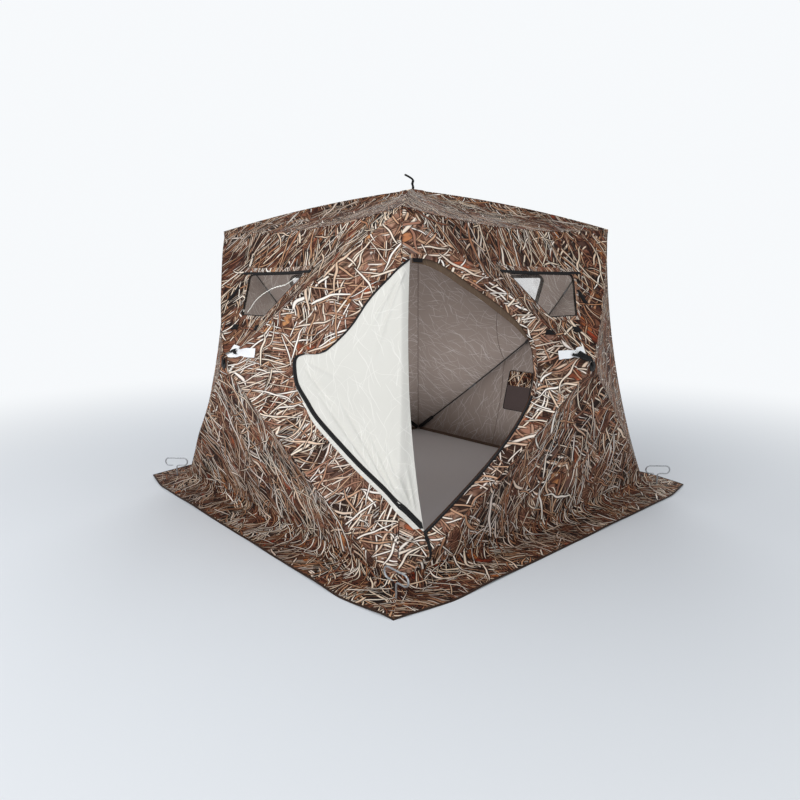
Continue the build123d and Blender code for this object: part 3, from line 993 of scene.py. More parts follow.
def make_roof(side):
    (outer, peak), (inner, inner_peak) = (roof_grid(depth, ROOF_SEED + side) for depth in (0.0, INNER_DEPTH))
    rows, cols = outer.shape[:2]
    verts = np.concatenate([outer.reshape(-1, 3), inner.reshape(-1, 3), [peak], [inner_peak]])
    base = rows * cols
    last = base - cols
    top, under = 2 * base, 2 * base + 1
    faces = []
    for a in range(0, last, cols):
        b = a + cols
        for c in range(cols - 1):
            faces.append(((a + c, b + c, b + c + 1, a + c + 1), 0))
            faces.append(((base + a + c, base + a + c + 1, base + b + c + 1, base + b + c), 1))
    for c in range(cols - 1):
        faces.append(((top, c, c + 1), 0))
        faces.append(((under, base + c + 1, base + c), 1))
        faces.append(((last + c + 1, last + c, base + last + c, base + last + c + 1), 0))
    for c in (0, cols - 1):
        line = [top, *range(c, base, cols)]
        under_line = [under, *range(base + c, 2 * base, cols)]
        for i in range(rows):
            quad = (line[i], line[i + 1], under_line[i + 1], under_line[i])
            faces.append((quad if c else quad[::-1], 0))
    uv = np.stack([verts[:, 0] + 1.7 + side * 2.3, verts[:, 1] + 4.4], -1)
    faces, kind = zip(*faces)
    # The roof's darker copy of the print and the darkened lining are painted shade.
    obj = new_object(f"{SIDES[side]}_roof_cloth", verts, faces, uv, kind, [CAMO_ROOF_SHADED, LINING_SHADED])
    obj.data.transform(Matrix.Rotation(math.radians(90 * side), 4, "Z"))
    piece(obj, f"{SIDES[side]}_roof_gore")


# Radii of the welts between the sheets, and between the gores of one wall
WELT = 0.0028
GORE_WELT = 0.0017


def make_seams(side):
    """Narrow welts over the corner, eave and ridge, and from the hub to the corners of the wall."""
    share = np.linspace(0.004, 0.998, 60)
    reach = seam_reach(share)
    corner = np.stack([reach, -reach, CORNER_HEIGHT * share], -1)
    eave = top_seam(np.linspace(-1, 1, 60), 0.0)
    down = np.linspace(0.06, 1, 40)
    height = PEAK_HEIGHT + (CORNER_HEIGHT - PEAK_HEIGHT) * down + RIDGE_BOW * 4 * down * (1 - down)
    ridge = np.stack([TOP_HALF * down, -TOP_HALF * down, height], -1)
    parts = [(*tube(turned(line, side), WELT, 8), 0) for line in (corner, eave, ridge)]
    run = np.linspace(0.06, 0.96, 50)
    for half, height in ((BASE_HALF, 0.0), (TOP_HALF, CORNER_HEIGHT)):
        for end in (-half, half):
            spots = np.stack([end * run, HUB_HEIGHT + (height - HUB_HEIGHT) * run], -1)
            line = [OUTSIDE[side].at(*spot, GORE_WELT * 0.3) for spot in spots]
            parts.append((*tube(turned(line, side), GORE_WELT, 6), 0))
    # The welts take the darkest copy of the print, painted shade.
    piece(joined(f"{SIDES[side]}_seam_welts", parts, [CAMO_SKIRT_SHADED]))


# Skirt that lies on the ice, in metres from the wall's foot and along it
SKIRT_RISE = 0.060
SKIRT_CURVE = 0.075
SKIRT_SHEET = 0.0022
HEM_WIDTH = 0.013
HEM_PROUD = 0.0009
TIP_RUN = 0.330
# Tallest fold of the skirt, and the width of a fold
FOLD_LIMIT = 0.013
FOLD_WIDTH = 0.022


def skirt_outline(u):
    """The outer edge of the skirt: straight, then drawn in towards the tips."""
    x = SKIRT_TIP * u
    past = max(0.0, (abs(x) - (SKIRT_TIP - TIP_RUN)) / TIP_RUN)
    return np.array([x, -SKIRT_REACH + (SKIRT_REACH - SKIRT_TIP) * past**1.25])


def make_skirt(side):
    along = places(72)
    rng = np.random.default_rng(SKIRT_FOLD_SEED + side)
    folds = [(rng.uniform(-1, 1), rng.uniform(0.2, 0.9), rng.uniform(-0.9, 0.9)) for _ in range(9)]
    wall_reach = seam_reach(SKIRT_RISE / CORNER_HEIGHT)
    rows, uvs = [], []
    for u in along:
        start = OUTSIDE[side].at(u * wall_reach, SKIRT_RISE, 0.0012)
        foot = np.array([u * (BASE_HALF + 0.002), -(BASE_HALF + 0.004), 0.0])
        rest = np.array([u * (BASE_HALF + SKIRT_CURVE), -(BASE_HALF + SKIRT_CURVE), 0.0])
        edge = np.array([*skirt_outline(u), 0.0])
        run = np.linalg.norm(edge - rest)
        shares = [k / 14 * (run - HEM_WIDTH) / run for k in range(1, 15)] + [1.0]
        row = [bend(start, foot, rest, t) for t in np.linspace(0, 1, 9)]
        row = np.array(row + [rest + (edge - rest) * t for t in shares])
        lengths = np.concatenate([[0], np.cumsum(np.linalg.norm(np.diff(row, axis=0), axis=1))])
        rows.append(row)
        uvs.append([(u * (BASE_HALF + d * 0.8), SKIRT_RISE - d) for d in lengths])
    grid, uv = np.array(rows), np.array(uvs) + (WALL_SHIFT[side], 0)
    wave = ripple(grid.reshape(-1, 3)[:, :2], SKIRT_WAVE_SEED + side, SKIRT_FOLD, 6, 22)
    height = 0.0034 + wave.reshape(grid.shape[:2])
    out = -grid[..., 1] - BASE_HALF
    for middle, size, lean in folds:
        place = grid[..., 0] - 1.2 * middle - lean * (out - 0.1)
        ridge = np.exp(-(place / FOLD_WIDTH) ** 2) * np.exp(-((out - 0.13) / 0.09) ** 2)
        height += 0.0050 * size * ridge
    share_out = np.clip((out - 0.02) / 0.10, 0, 1)
    near_tip = np.clip((1 - np.abs(along)) / 0.04, 0, 1)[:, None]
    grid[..., 2] += np.clip(height, 0.0, FOLD_LIMIT) * share_out * near_tip
    under = grid.copy()
    grid[..., 2] += SKIRT_SHEET
    grid[:, -2:, 2] += HEM_PROUD
    kind = [[0] * (grid.shape[1] - 2) + [1]] * len(along)
    # The skirt takes the darkest copy of the print: painted shade.
    obj = shell(
        f"{SIDES[side]}_skirt_cloth", turned(grid, side), turned(under, side), uv,
        [CAMO_SKIRT_SHADED, HEM_TAPE], kind,
    )
    piece(obj, f"{SIDES[side]}_skirt")


# Windows

RIM_OUT = 0.014
RIM_IN = 0.010
PANE_DEPTH = 0.0022
PANE_THICK = 0.0012
# Black tabs near each window of a wall: middle (place, height), width and height
TABS = {
    "front": [
        ((-0.333, 1.347), 0.030, 0.080), ((-0.117, 1.162), 0.055, 0.028), ((0.122, 1.168), 0.048, 0.028),
    ],
    "right": [
        ((0.265, 1.332), 0.030, 0.080), ((-0.230, 1.160), 0.048, 0.028), ((0.062, 1.158), 0.055, 0.028),
    ],
    "back": [
        ((0.300, 1.340), 0.030, 0.080), ((-0.120, 1.165), 0.050, 0.028), ((0.120, 1.165), 0.050, 0.028),
    ],
}
TABS["left"] = [((-0.300, 1.340), 0.030, 0.080), *TABS["back"][1:]]
# Lines of creases in a window's film, each drawn as a pale strip: a painted glare highlight.
CREASES = {
    "front": [
        [(-0.091, 1.247), (-0.084, 1.315), (-0.039, 1.357), (0.042, 1.389), (0.143, 1.402), (0.218, 1.438)],
        [(-0.222, 1.309), (-0.136, 1.249)],
    ],
}
VALANCE_HEIGHT = 0.026
VALANCE_PAST = 0.055


def outset(outline, distance):
    """A closed outline moved outwards along its own normals."""
    points = np.array(outline, float)
    normal = left_of(units(np.roll(points, -1, axis=0) - np.roll(points, 1, axis=0)))
    away = ((points - points.mean(axis=0)) * normal).sum(axis=1)
    return points + normal * np.sign(away)[:, None] * distance


def valance_line(ends, middle):
    """A line over a window, from its rise over the window's top at both ends and in the middle."""
    reach = WINDOW_TOP_HALF + VALANCE_PAST
    return curved([(-reach, WINDOW_TOP + ends), (0, WINDOW_TOP + middle), (reach, WINDOW_TOP + ends)])


def make_window(side):
    name, skin, shift = SIDES[side], OUTSIDE[side], WALL_SHIFT[side]
    rim = outset(WINDOW, (RIM_OUT - RIM_IN) / 2)
    width = RIM_OUT + RIM_IN
    obj = ribbon(f"{name}_window_rim", skin, rim, width, 0.0018, CAMO, closed=True, print_shift=shift + 0.4)
    piece(obj, f"{name}_window_binding")
    pipings = (("outer", skin, 0.002 - RIM_IN, 0.005), ("inner", INSIDE[side], 0.004, 0.026))
    for tag, own, distance, width in pipings:
        edge = outset(WINDOW, distance)
        obj = ribbon(f"{name}_window_{tag}_piping", own, edge, width, 0.0026, BLACK_TAPE, closed=True)
        piece(obj)
    # A black strip under the valance stands for the valance's shadow on the wall: painted shadow.
    edge = valance_line(0.004, 0.001)
    obj = ribbon(f"{name}_valance_painted_shadow", skin, edge, 0.018, 0.0030, BLACK_TAPE, lift=0.0024)
    piece(obj)
    obj = ribbon(
        f"{name}_window_valance", skin, valance_line(0.020, 0.017), VALANCE_HEIGHT, 0.0042, CAMO,
        lift=0.0026, print_shift=shift + 0.9,
    )
    piece(obj)
    v, u = unit_grid(13, 25)
    half = WINDOW_LOW_HALF + (WINDOW_TOP_HALF - WINDOW_LOW_HALF) * v
    spots = np.stack([half * (2 * u - 1), WINDOW_LOW + WINDOW_HEIGHT * v], -1)
    sag = ripple(spots.reshape(-1, 2), PANE_SEED + side, PANE_FOLD, 10, 30).reshape(v.shape) - PANE_DEPTH
    top, under = laid(skin, spots, sag), laid(skin, spots, sag - PANE_THICK)
    obj = shell(f"{name}_window_pane", top, under, spots, [FILM])
    piece(obj, f"{name}_window_film")
    # Each crease is drawn as a pale strip on the pane: painted glare highlight.
    for number, line in enumerate(CREASES.get(name, ())):
        path, _ = spaced(curved(line), 0.005)
        path += np.random.default_rng(CREASE_SEED + number).normal(0, 0.0016, path.shape)
        obj = ribbon(
            f"{name}_pane_crease_glare_{number + 1}", skin, path, 0.0060, 0.0006, CREASE_GLARE, lift=-0.0012, step=0.004,
        )
        piece(obj)
    for number, ((place, height), width, tall) in enumerate(TABS[name]):
        path = [(place, height - tall / 2), (place, height + tall / 2)]
        obj = ribbon(f"{name}_tab_{number + 1}", skin, path, width, 0.0025, HOOK_PATCH, step=0.008)
        piece(obj)


# Hubs, poles and sleeves

SOCKET_START = 0.024
SOCKET_END = 0.078
SOCKET_DEPTH = 0.016
SOCKET_STOP = 0.006
SOCKET_RADIUS = 0.009
ROD_RADIUS = 0.0055
TIP_INSET = 0.068
STAND_OFF = 0.020
SLEEVE_LENGTH = 0.165
SLEEVE_CAP = 0.008
BASE_SLEEVE_CAP = 0.036
SLEEVE_HALF = 0.0072
SLEEVE_WIDEN = 2.3


def pole_line(hub_point, out, corner, middle):
    """A bowed rod from its socket in the hub to its tip near the corner."""
    run = unit(corner - hub_point)
    inward = unit(out - run * (out @ run))
    start = hub_point + out * SOCKET_DEPTH + run * (SOCKET_START + SOCKET_STOP)
    end = corner - run * TIP_INSET + inward * STAND_OFF
    through = middle + inward * STAND_OFF
    control = 2 * through - (start + end) / 2
    return bend(start, control, end, np.linspace(0, 1, 33)[:, None]), inward


def wall_pole_lines(side):
    hub_point = np.array([0, -(HUB_REACH - CLOTH), HUB_HEIGHT])
    lines = []
    for corner in wall_edge(INNER_DEPTH)[0][::SIDE_STEPS]:
        middle = (hub_point + corner) / 2 - (0, RIDGE_BOW, 0)
        line, inward = pole_line(hub_point, np.array([0, 1.0, 0]), corner, middle)
        lines.append((turned(line, side), turned(inward, side)))
    return lines


def roof_pole_lines():
    peak = np.array([0, 0, PEAK_HEIGHT - MITRE_DOWN * INNER_DEPTH])
    corner = top_seam(np.array([1.0]), INNER_DEPTH)[0]
    middle = (peak + corner) / 2 + (0, 0, RIDGE_BOW)
    line, inward = pole_line(peak, np.array([0, 0, -1.0]), corner, middle)
    return [(turned(line, side), turned(inward, side)) for side in range(4)]


def rod_parts(lines):
    """Rods with a metal ferrule where their two lengths join."""
    parts = []
    for line, _ in lines:
        path, radii = rounded_ends(line, ROD_RADIUS)
        parts.append((*tube(path, radii, 14), 0))
        parts.append((*tube(line[15:18], ROD_RADIUS + 0.0009, 14), 1))
    return parts


def sleeve_part(line, inward, past=SLEEVE_CAP):
    """A flat sewn sleeve over a rod's tip, puckered at its mouth and folded over past its end."""
    tip = line[-1]
    run = unit(line[-1] - line[-3])
    lead = np.cross(run, inward)
    start = tip - run * SLEEVE_LENGTH
    share = np.linspace(0, 1, 22)
    path = start + np.outer(share, run) * (SLEEVE_LENGTH + past)
    swell = np.clip(share / 0.05, 0.45, 1) * np.clip((1 - share) / 0.05, 0.25, 1)
    pucker = 1 - 0.10 * np.exp(-((share - 0.16) / 0.05) ** 2)
    return (*tube(path, SLEEVE_HALF * swell * pucker, 20, SLEEVE_WIDEN, lead), 0)


CAP_PROFILE = [
    (0.0268, 0.0), (0.0270, 0.0012), (0.0262, 0.0032), (0.0235, 0.0044), (0.0150, 0.0049), (0.0105, 0.0046),
    (0.0098, 0.0030), (0.0078, 0.0030), (0.0074, 0.0050), (0.0050, 0.0058), (0.0008, 0.0060),
]
PLATE_PROFILE = [
    (0.0318, 0.0), (0.0320, 0.0040), (0.0308, 0.0060), (0.0240, 0.0066), (0.0232, 0.0210), (0.0215, 0.0245),
    (0.0120, 0.0250), (0.0080, 0.0228), (0.0008, 0.0225),
]


def hub_fitting(name, node, cap_point, out, lines, seat):
    """Cap outside the cloth, plate and boss inside it, and a socket on each rod."""
    parts = [(*lathe(CAP_PROFILE, cap_point, -out), 0)]
    parts.append((*lathe(PLATE_PROFILE, cap_point + out * seat, out), 0))
    for line, _ in lines:
        run = unit(line[1] - line[0])
        start = line[0] - run * (SOCKET_START + SOCKET_STOP) * 0.9
        path = start + run * SOCKET_END * np.linspace(0, 1, 9)[:, None]
        radii = [SOCKET_RADIUS] * 7 + [SOCKET_RADIUS + 0.0012] * 2
        parts.append((*tube(path, radii, 18), 0))
    piece(joined(name, parts, [BLACK_PLASTIC]), node)


def make_rods(name, lines, node):
    piece(joined(name, rod_parts(lines), [POLE, FERRULE]), node)


def make_sleeves(name, parts, node):
    piece(joined(name, parts, [BLACK_TAPE]), node)


def make_frame():
    """Every hub, rod and sleeve."""
    base, top = [], []
    for side, name in enumerate(SIDES):
        lines = wall_pole_lines(side)
        cap, out = turned([0, -HUB_REACH, HUB_HEIGHT], side), turned([0, 1, 0], side)
        hub_fitting(f"{name}_hub_fitting", f"{name}_hub", cap, out, lines, CLOTH)
        make_rods(f"{name}_pole_rods", lines, f"{name}_poles")
        base += [sleeve_part(*line, BASE_SLEEVE_CAP) for line in lines[:2]]
        top += [sleeve_part(*line) for line in lines[2:]]
    make_sleeves("base_pole_sleeves", base, "base_pole_boots")
    make_sleeves("top_pole_sleeves", top, "top_pole_boots")
    lines = roof_pole_lines()
    cap, out = np.array([0, 0, PEAK_HEIGHT]), np.array([0, 0, -1.0])
    hub_fitting("roof_hub_fitting", "roof_hub", cap, out, lines, MITRE_DOWN * INNER_DEPTH)
    make_rods("roof_pole_rods", lines, "roof_poles")
    make_sleeves("roof_pole_sleeves", [sleeve_part(*line) for line in lines], "roof_pole_boots")


# Pull straps

# Line of each strap from its hub, as (place, height, lift), and the tag's corners in order
PULLS = {
    "front": (
        [
            (0.002, 0.975, 0.007), (0.018, 0.992, 0.014), (0.028, 1.012, 0.019), (0.042, 1.032, 0.017),
            (0.084, 1.044, 0.010),
        ],
        [(0.010, 1.066), (0.190, 1.066), (0.184, 1.012), (0.014, 1.012)],
    ),
    "right": (
        [
            (0.002, 0.976, 0.007), (-0.022, 0.998, 0.014), (-0.050, 1.020, 0.019), (-0.080, 1.036, 0.017),
            (-0.112, 1.042, 0.010),
        ],
        [(-0.186, 1.062), (0.003, 1.067), (-0.026, 1.024), (-0.180, 1.014)],
    ),
}
PULLS["back"] = PULLS["front"]
PULLS["left"] = PULLS["right"]
PULL_WIDTH = 0.017


def make_pull(side):
    name, skin = SIDES[side], OUTSIDE[side]
    path, corners = PULLS[name]
    obj = ribbon(f"{name}_pull_webbing", skin, curved(path), PULL_WIDTH, 0.0020, BLACK_TAPE, step=0.004)
    piece(obj, f"{name}_hub_pull")
    a, b, c, d = np.array(corners)
    v, u = unit_grid(9, 25)
    curl = 0.004 + 0.009 * (2 * u - 1) ** 2 + 0.003 * np.sin(7 * u + 3 * v)
    pinch = 1 - 0.30 * np.exp(-((u - 0.52) / 0.09) ** 2)
    share = (0.5 + (v - 0.5) * pinch)[..., None]
    u = u[..., None]
    spots = (a * (1 - u) + b * u) * share + (d * (1 - u) + c * u) * (1 - share)
    top, under = laid(skin, spots, curl + 0.0014), laid(skin, spots, curl)
    piece(shell(f"{name}_pull_tag", top, under, spots, [REFLECTIVE]))


def make_roof_strap():
    """A short bent web on the peak with a thick folded grip at its end."""
    foot = PEAK_HEIGHT + 0.003
    bends = [(0, 0), (0.004, 0.018), (-0.004, 0.038), (0.003, 0.056), (0, 0.066)]
    line = curved([(place, 0, foot + height) for place, height in bends])
    web = tube(line, 0.0024, 12, 4.6, (0, 1, 0))
    lean = unit((-0.57, -0.65, 0.50))
    share = np.linspace(0, 1, 18)
    path = line[-1] - lean * 0.006 + np.outer(share, lean) * 0.070
    path[:, 2] += 0.003 * np.sin(math.pi * share)
    swell = np.clip(share / 0.10, 0.5, 1) * np.clip((1 - share) / 0.06, 0.5, 1)
    grip = tube(path, 0.0062 * swell, 16, 2.0, (-0.75, 0.66, 0))
    make_sleeves("roof_pull_webbing", [(*web, 0), (*grip, 0)], "roof_pull_strap")


# Door

FLAP_EDGE = [
    (0.796, 1.346), (0.698, 1.197), (0.589, 1.085), (0.520, 1.048), (0.438, 1.044), (0.403, 1.022),
    (0.400, 0.974), (0.431, 0.883), (0.507, 0.796), (0.598, 0.705), (0.826, 0.535), (1.038, 0.393),
]
FLAP_LIFT = 0.0055
FLAP_THICK = 0.003
FLAP_PUFF = 0.008
FLAP_ZIP_HIGH = 0.009
FLAP_ZIP_LOW = 0.021
FLAP_LIP = 0.017
# Share of the free edge, from its top, at which the corner of the flap starts
FLAP_TURN = 0.37
# Distance from the free edge at which the creases start, and over which they grow
CREASE_INSET = 0.046
CREASE_RUN = 0.030
# Creases of the flap: start (place, height), angle in degrees, length, height
FLAP_CREASES = [
    ((1.20, 0.24), 140, 1.02, 0.01275), ((1.20, 0.24), 136, 0.92, 0.0105), ((1.20, 0.24), 131, 0.80, 0.01125),
    ((1.20, 0.24), 126, 0.62, 0.0090), ((1.20, 0.24), 120, 0.46, 0.0090), ((1.20, 0.24), 112, 0.34, 0.00675),
    ((0.960, 1.52), 246, 0.36, 0.0075), ((0.960, 1.52), 256, 0.50, 0.00675),
    ((0.41, 1.03), 316, 0.42, 0.0075), ((0.41, 1.03), 340, 0.30, 0.0060),
]
# Distance over which the flap turns round the corner
FOLD_BLEND = 0.03
# Distance between the points of the free edge
FREE_STEP = 0.012


def folded_at(place, height, lift):
    """A point on the skin of the front wall, carried on round the corner over the right wall."""
    reach = float(seam_reach(height / CORNER_HEIGHT))
    front_point, front_normal = OUTSIDE[0].frame(min(place, reach - 0.002), height)
    right_point, right_normal = OUTSIDE[1].frame(-min(2 * reach - place, reach - 0.002), height)
    point = front_point if place <= reach else turned(right_point, 1)
    past = (place - reach) / FOLD_BLEND
    share = min(1, max(0, past / 2 + 0.5))
    normal = front_normal * (1 - share) + turned(right_normal, 1) * share
    return point + unit(normal) * (lift + 0.010 * math.exp(-past**2))


def hinge_at(share):
    """Place of the hinge line on the carried-on skin, at a share of its height from the top."""
    height = DOOR_TOP[1] + (DOOR_BOTTOM[1] - DOOR_TOP[1]) * share
    line = [DOOR_BOTTOM, DOOR_MIDDLE, DOOR_TOP]
    own = np.interp(height, [p[1] for p in line], [p[0] for p in line])
    return np.array([2 * float(seam_reach(height / CORNER_HEIGHT)) + own, height])


FREE_EDGE = spaced(curved([hinge_at(0), *FLAP_EDGE, hinge_at(1)]), FREE_STEP)[0]


def flap_spot(t, u):
    """A spot on the flap: t from its top to its foot, u from the hinge to the free edge and past it."""
    at = t * (len(FREE_EDGE) - 1)
    low = min(int(at), len(FREE_EDGE) - 2)
    free = FREE_EDGE[low] + (FREE_EDGE[low + 1] - FREE_EDGE[low]) * (at - low)
    hinge = hinge_at(t)
    return hinge + (free - hinge) * u


def flap_point(t, u, lift=0.0):
    place, height = flap_spot(t, u)
    inside = max(0.0, min(1.0, u))
    rise = FLAP_PUFF * math.sin(math.pi * inside) * math.sin(math.pi * t) ** 0.7
    from_edge = (1 - inside) * np.linalg.norm(flap_spot(t, 1) - hinge_at(t))
    edge = min(1.0, max(0.0, (from_edge - CREASE_INSET) / CREASE_RUN)) * min(1.0, inside / 0.04)
    for (x, z), angle, length, size in FLAP_CREASES:
        c, s = math.cos(math.radians(angle)), math.sin(math.radians(angle))
        along = (place - x) * c + (height - z) * s
        off = (height - z) * c - (place - x) * s
        if 0 < along < length:
            sharp = 0.0035 + 0.0075 * along / length
            rise += size * edge * math.exp(-((off / sharp) ** 2)) * math.sin(math.pi * along / length) ** 0.6
    return folded_at(place, height, FLAP_LIFT + rise + lift)


def eased(value):
    value = min(1.0, max(0.0, value))
    return value * value * (3 - 2 * value)


def flap_strip(name, t_range, near, far, thick, material, lift, step=0.010):
    """A strip along the free edge, from near to far inside it, laid on the flap."""
    count = round((t_range[1] - t_range[0]) * (len(FREE_EDGE) - 1) * FREE_STEP / step)
    top, under, uv = [], [], []
    for t in np.linspace(*t_range, count + 1):
        hinge, free = flap_spot(t, 0), flap_spot(t, 1)
        width = max(np.linalg.norm(free - hinge), 1e-6)
        ahead = flap_spot(min(1, t + 0.004), 1) - flap_spot(max(0, t - 0.004), 1)
        ruled = (free - hinge) / width
        crossing = abs(ruled[0] * ahead[1] - ruled[1] * ahead[0]) / np.linalg.norm(ahead)
        reach = 1 / (max(crossing, 0.4) * width)
        start, wide = near(t), far(t) - near(t)
        shares = [1 - min(0.9, (start + wide * (offset + 0.5)) * reach) for offset, _ in TAPE_SECTION]
        top.append([flap_point(t, u, lift + thick * rise) for u, (_, rise) in zip(shares, TAPE_SECTION)])
        under.append([flap_point(t, u, lift) for u in shares])
        uv.append([(t * 1.9, offset * wide) for offset, _ in TAPE_SECTION])
    section = np.tile([2 * offset for offset, _ in TAPE_SECTION], (len(top), 1))
    return shell(name, np.array(top), np.array(under), np.array(uv), [material], across=section)


def make_flap():
    ts, us = np.linspace(0.006, 0.994, 180), np.linspace(0, 1, 110)
    top = np.array([[flap_point(t, u) for u in us] for t in ts])
    under = np.array([[flap_point(t, u, -FLAP_THICK) for u in us] for t in ts])
    uv = np.array([[flap_spot(t, u) for u in us] for t in ts])
    obj = shell("door_flap_cloth", top, under, uv, [PALE_LINING], smooth=60)
    piece(obj, "door_flap")
    whole = (0.006, 0.985)

    def width(t):
        return FLAP_ZIP_HIGH + (FLAP_ZIP_LOW - FLAP_ZIP_HIGH) * eased((t - FLAP_TURN) / 0.05)

    def lip(t):
        return -0.002 - FLAP_LIP * eased((t - 0.48) / 0.14)

    zip_tape = flap_strip("door_flap_zip_tape", whole, lambda t: -0.001, width, 0.0016, BLACK_TAPE, 0.0012)
    piece(zip_tape, "door_flap_zip")
    coil = flap_strip("door_flap_coil", whole, lambda t: 0.003, lambda t: 0.007, 0.0022, COIL, 0.0026, 0.006)
    piece(coil)
    edge = flap_strip("door_flap_lip", (0.48, 0.985), lip, lambda t: -0.0005, 0.0018, PALE_LINING, 0.0)
    piece(edge)


ZIP_TAPE = 0.011
TAIL = 0.125


def make_fixed_zip():
    """The zip round the opening: bare on its lower edge, and under a strip of print above."""
    skin = OUTSIDE[1]
    bare = len(DOOR_EDGE) * 6 // 8
    cover = beside(DOOR_EDGE[:bare + 1], 0.008)
    shift = WALL_SHIFT[1] + 0.3
    piece(ribbon("door_zip_cover", skin, cover, 0.020, 0.0030, CAMO, print_shift=shift))
    edge = DOOR_EDGE[bare:]
    middle = beside(edge, ZIP_TAPE / 2 - 0.001)
    obj = ribbon("door_fixed_zip_tape", skin, middle, ZIP_TAPE, 0.0016, BLACK_TAPE)
    piece(obj, "door_fixed_zip")
    coil = ribbon("door_fixed_coil", skin, beside(edge, 0.0015), 0.004, 0.0022, COIL, lift=0.0022, step=0.006)
    piece(coil)
    x, z = DOOR_BOTTOM[0] + 0.004, DOOR_BOTTOM[1]
    tail = [(x, z + 0.006), (x + 0.002, z - TAIL)]
    piece(ribbon("door_zip_tail", skin, tail, 0.014, 0.0020, BLACK_TAPE))
    slider = [(x, z + 0.010), (x, z - 0.014)]
    obj = ribbon("door_zip_slider", skin, slider, 0.011, 0.0050, BLACK_PLASTIC, lift=0.0022, step=0.003)
    piece(obj)
    turns = np.linspace(0, 2 * math.pi, 20, endpoint=False)
    ring = np.stack([x + 0.008 * np.cos(turns), z - 0.028 + 0.012 * np.sin(turns)], -1)
    obj = ribbon("door_zip_ring", skin, ring, 0.003, 0.0024, BLACK_PLASTIC, 0.0030, closed=True, step=0.003)
    piece(obj)
    patch = [(-0.880, 1.520), (-0.838, 1.518)]
    piece(ribbon("door_hook_patch", skin, patch, 0.024, 0.0020, HOOK_PATCH, step=0.006))


# Edge of the draft band that shows in the opening, and the band's width
BAND_EDGE = [
    (-0.880, 1.504), (-0.821, 1.494), (-0.740, 1.455), (-0.658, 1.394), (-0.563, 1.325), (-0.476, 1.256),
    (-0.396, 1.190), (-0.339, 1.128),
]
BAND_WIDTH = 0.050


def make_draft_band():
    line = beside(curved(BAND_EDGE, 4), BAND_WIDTH / 2)
    # The band's dark brown colour is painted shade on its inward face.
    obj = ribbon("door_draft_band_cloth", INSIDE[1], line, BAND_WIDTH, 0.0030, DRAFT_BAND_SHADED, print_shift=0.0)
    piece(obj, "door_draft_band")


# Inside

POCKET_LOW, POCKET_TOP = 0.346, 0.668
POCKET_LEFT, POCKET_RIGHT = -0.077, 0.171
POCKET_DEPTH = 0.009
POCKET_PRINT = 0.36


def make_pocket():
    skin = INSIDE[2]
    v, u = unit_grid(25, 21)
    wide, tall = POCKET_RIGHT - POCKET_LEFT, POCKET_TOP - POCKET_LOW
    spots = np.stack([POCKET_LEFT + wide * u, POCKET_LOW + tall * v], -1)
    puff = 0.7 * POCKET_DEPTH * np.sin(np.pi * u) ** 0.5
    puff *= np.sin(np.pi * np.minimum(1, 0.1 + v * 0.75)) ** 0.7
    top, under = laid(skin, spots, 0.0026 + puff), laid(skin, spots, 0.0008 + 0.9 * puff)
    kind = (v > 1 - POCKET_PRINT - 0.02).astype(int)
    # The pocket's printed top takes the darkest copy of the print: painted shade.
    obj = shell("inner_pocket_cloth", top, under, spots, [MESH, CAMO_SKIRT_SHADED], kind)
    piece(obj, "inner_pocket")
    left, right = POCKET_LEFT, POCKET_RIGHT
    edge = [(left, POCKET_LOW), (right, POCKET_LOW), (right, POCKET_TOP), (left, POCKET_TOP)]
    edge = rounded(edge, 0.012)
    piece(ribbon("inner_pocket_binding", skin, edge, 0.010, 0.0034, BLACK_TAPE, closed=True))


def make_inner_seams(side):
    """Tape over the corner seam inside, and the hem at the wall's foot."""
    name, skin = SIDES[side], INSIDE[side]
    share = np.linspace(0.01, 0.985, 50)
    reach = seam_reach(share) - CLOTH - 0.001
    for sign, tag in ((-1, "left"), (1, "right")):
        line = np.stack([sign * reach, CORNER_HEIGHT * share], -1)
        obj = ribbon(f"{name}_inner_{tag}_tape", skin, line, 0.006, 0.0010, SEAM_TAPE, step=0.03)
        piece(obj)
    hem = [(-BASE_HALF + 0.03, 0.014), (BASE_HALF - 0.03, 0.014)]
    piece(ribbon(f"{name}_inner_hem", skin, hem, 0.024, 0.0016, INNER_HEM, step=0.03))
    if name == "back":
        seam = [(0.224, 0.03), (0.221, 0.453), (0.272, 0.779), (0.286, 1.158), (0.290, 1.62)]
        obj = ribbon("back_inner_seam", skin, curved(seam), 0.005, 0.0012, SEAM_TAPE, step=0.02)
        piece(obj)


# Ice anchors

ANCHOR_OUT = 0.062
WIRE = 0.0045
NECK = 0.084
LOOP_LENGTH = 0.165
LOOP_WIDTH = 0.056
LOOP_GAP = 0.026
NECK_BEND = 0.014
ANCHOR_HEADINGS = (0, 45, 45, 45)


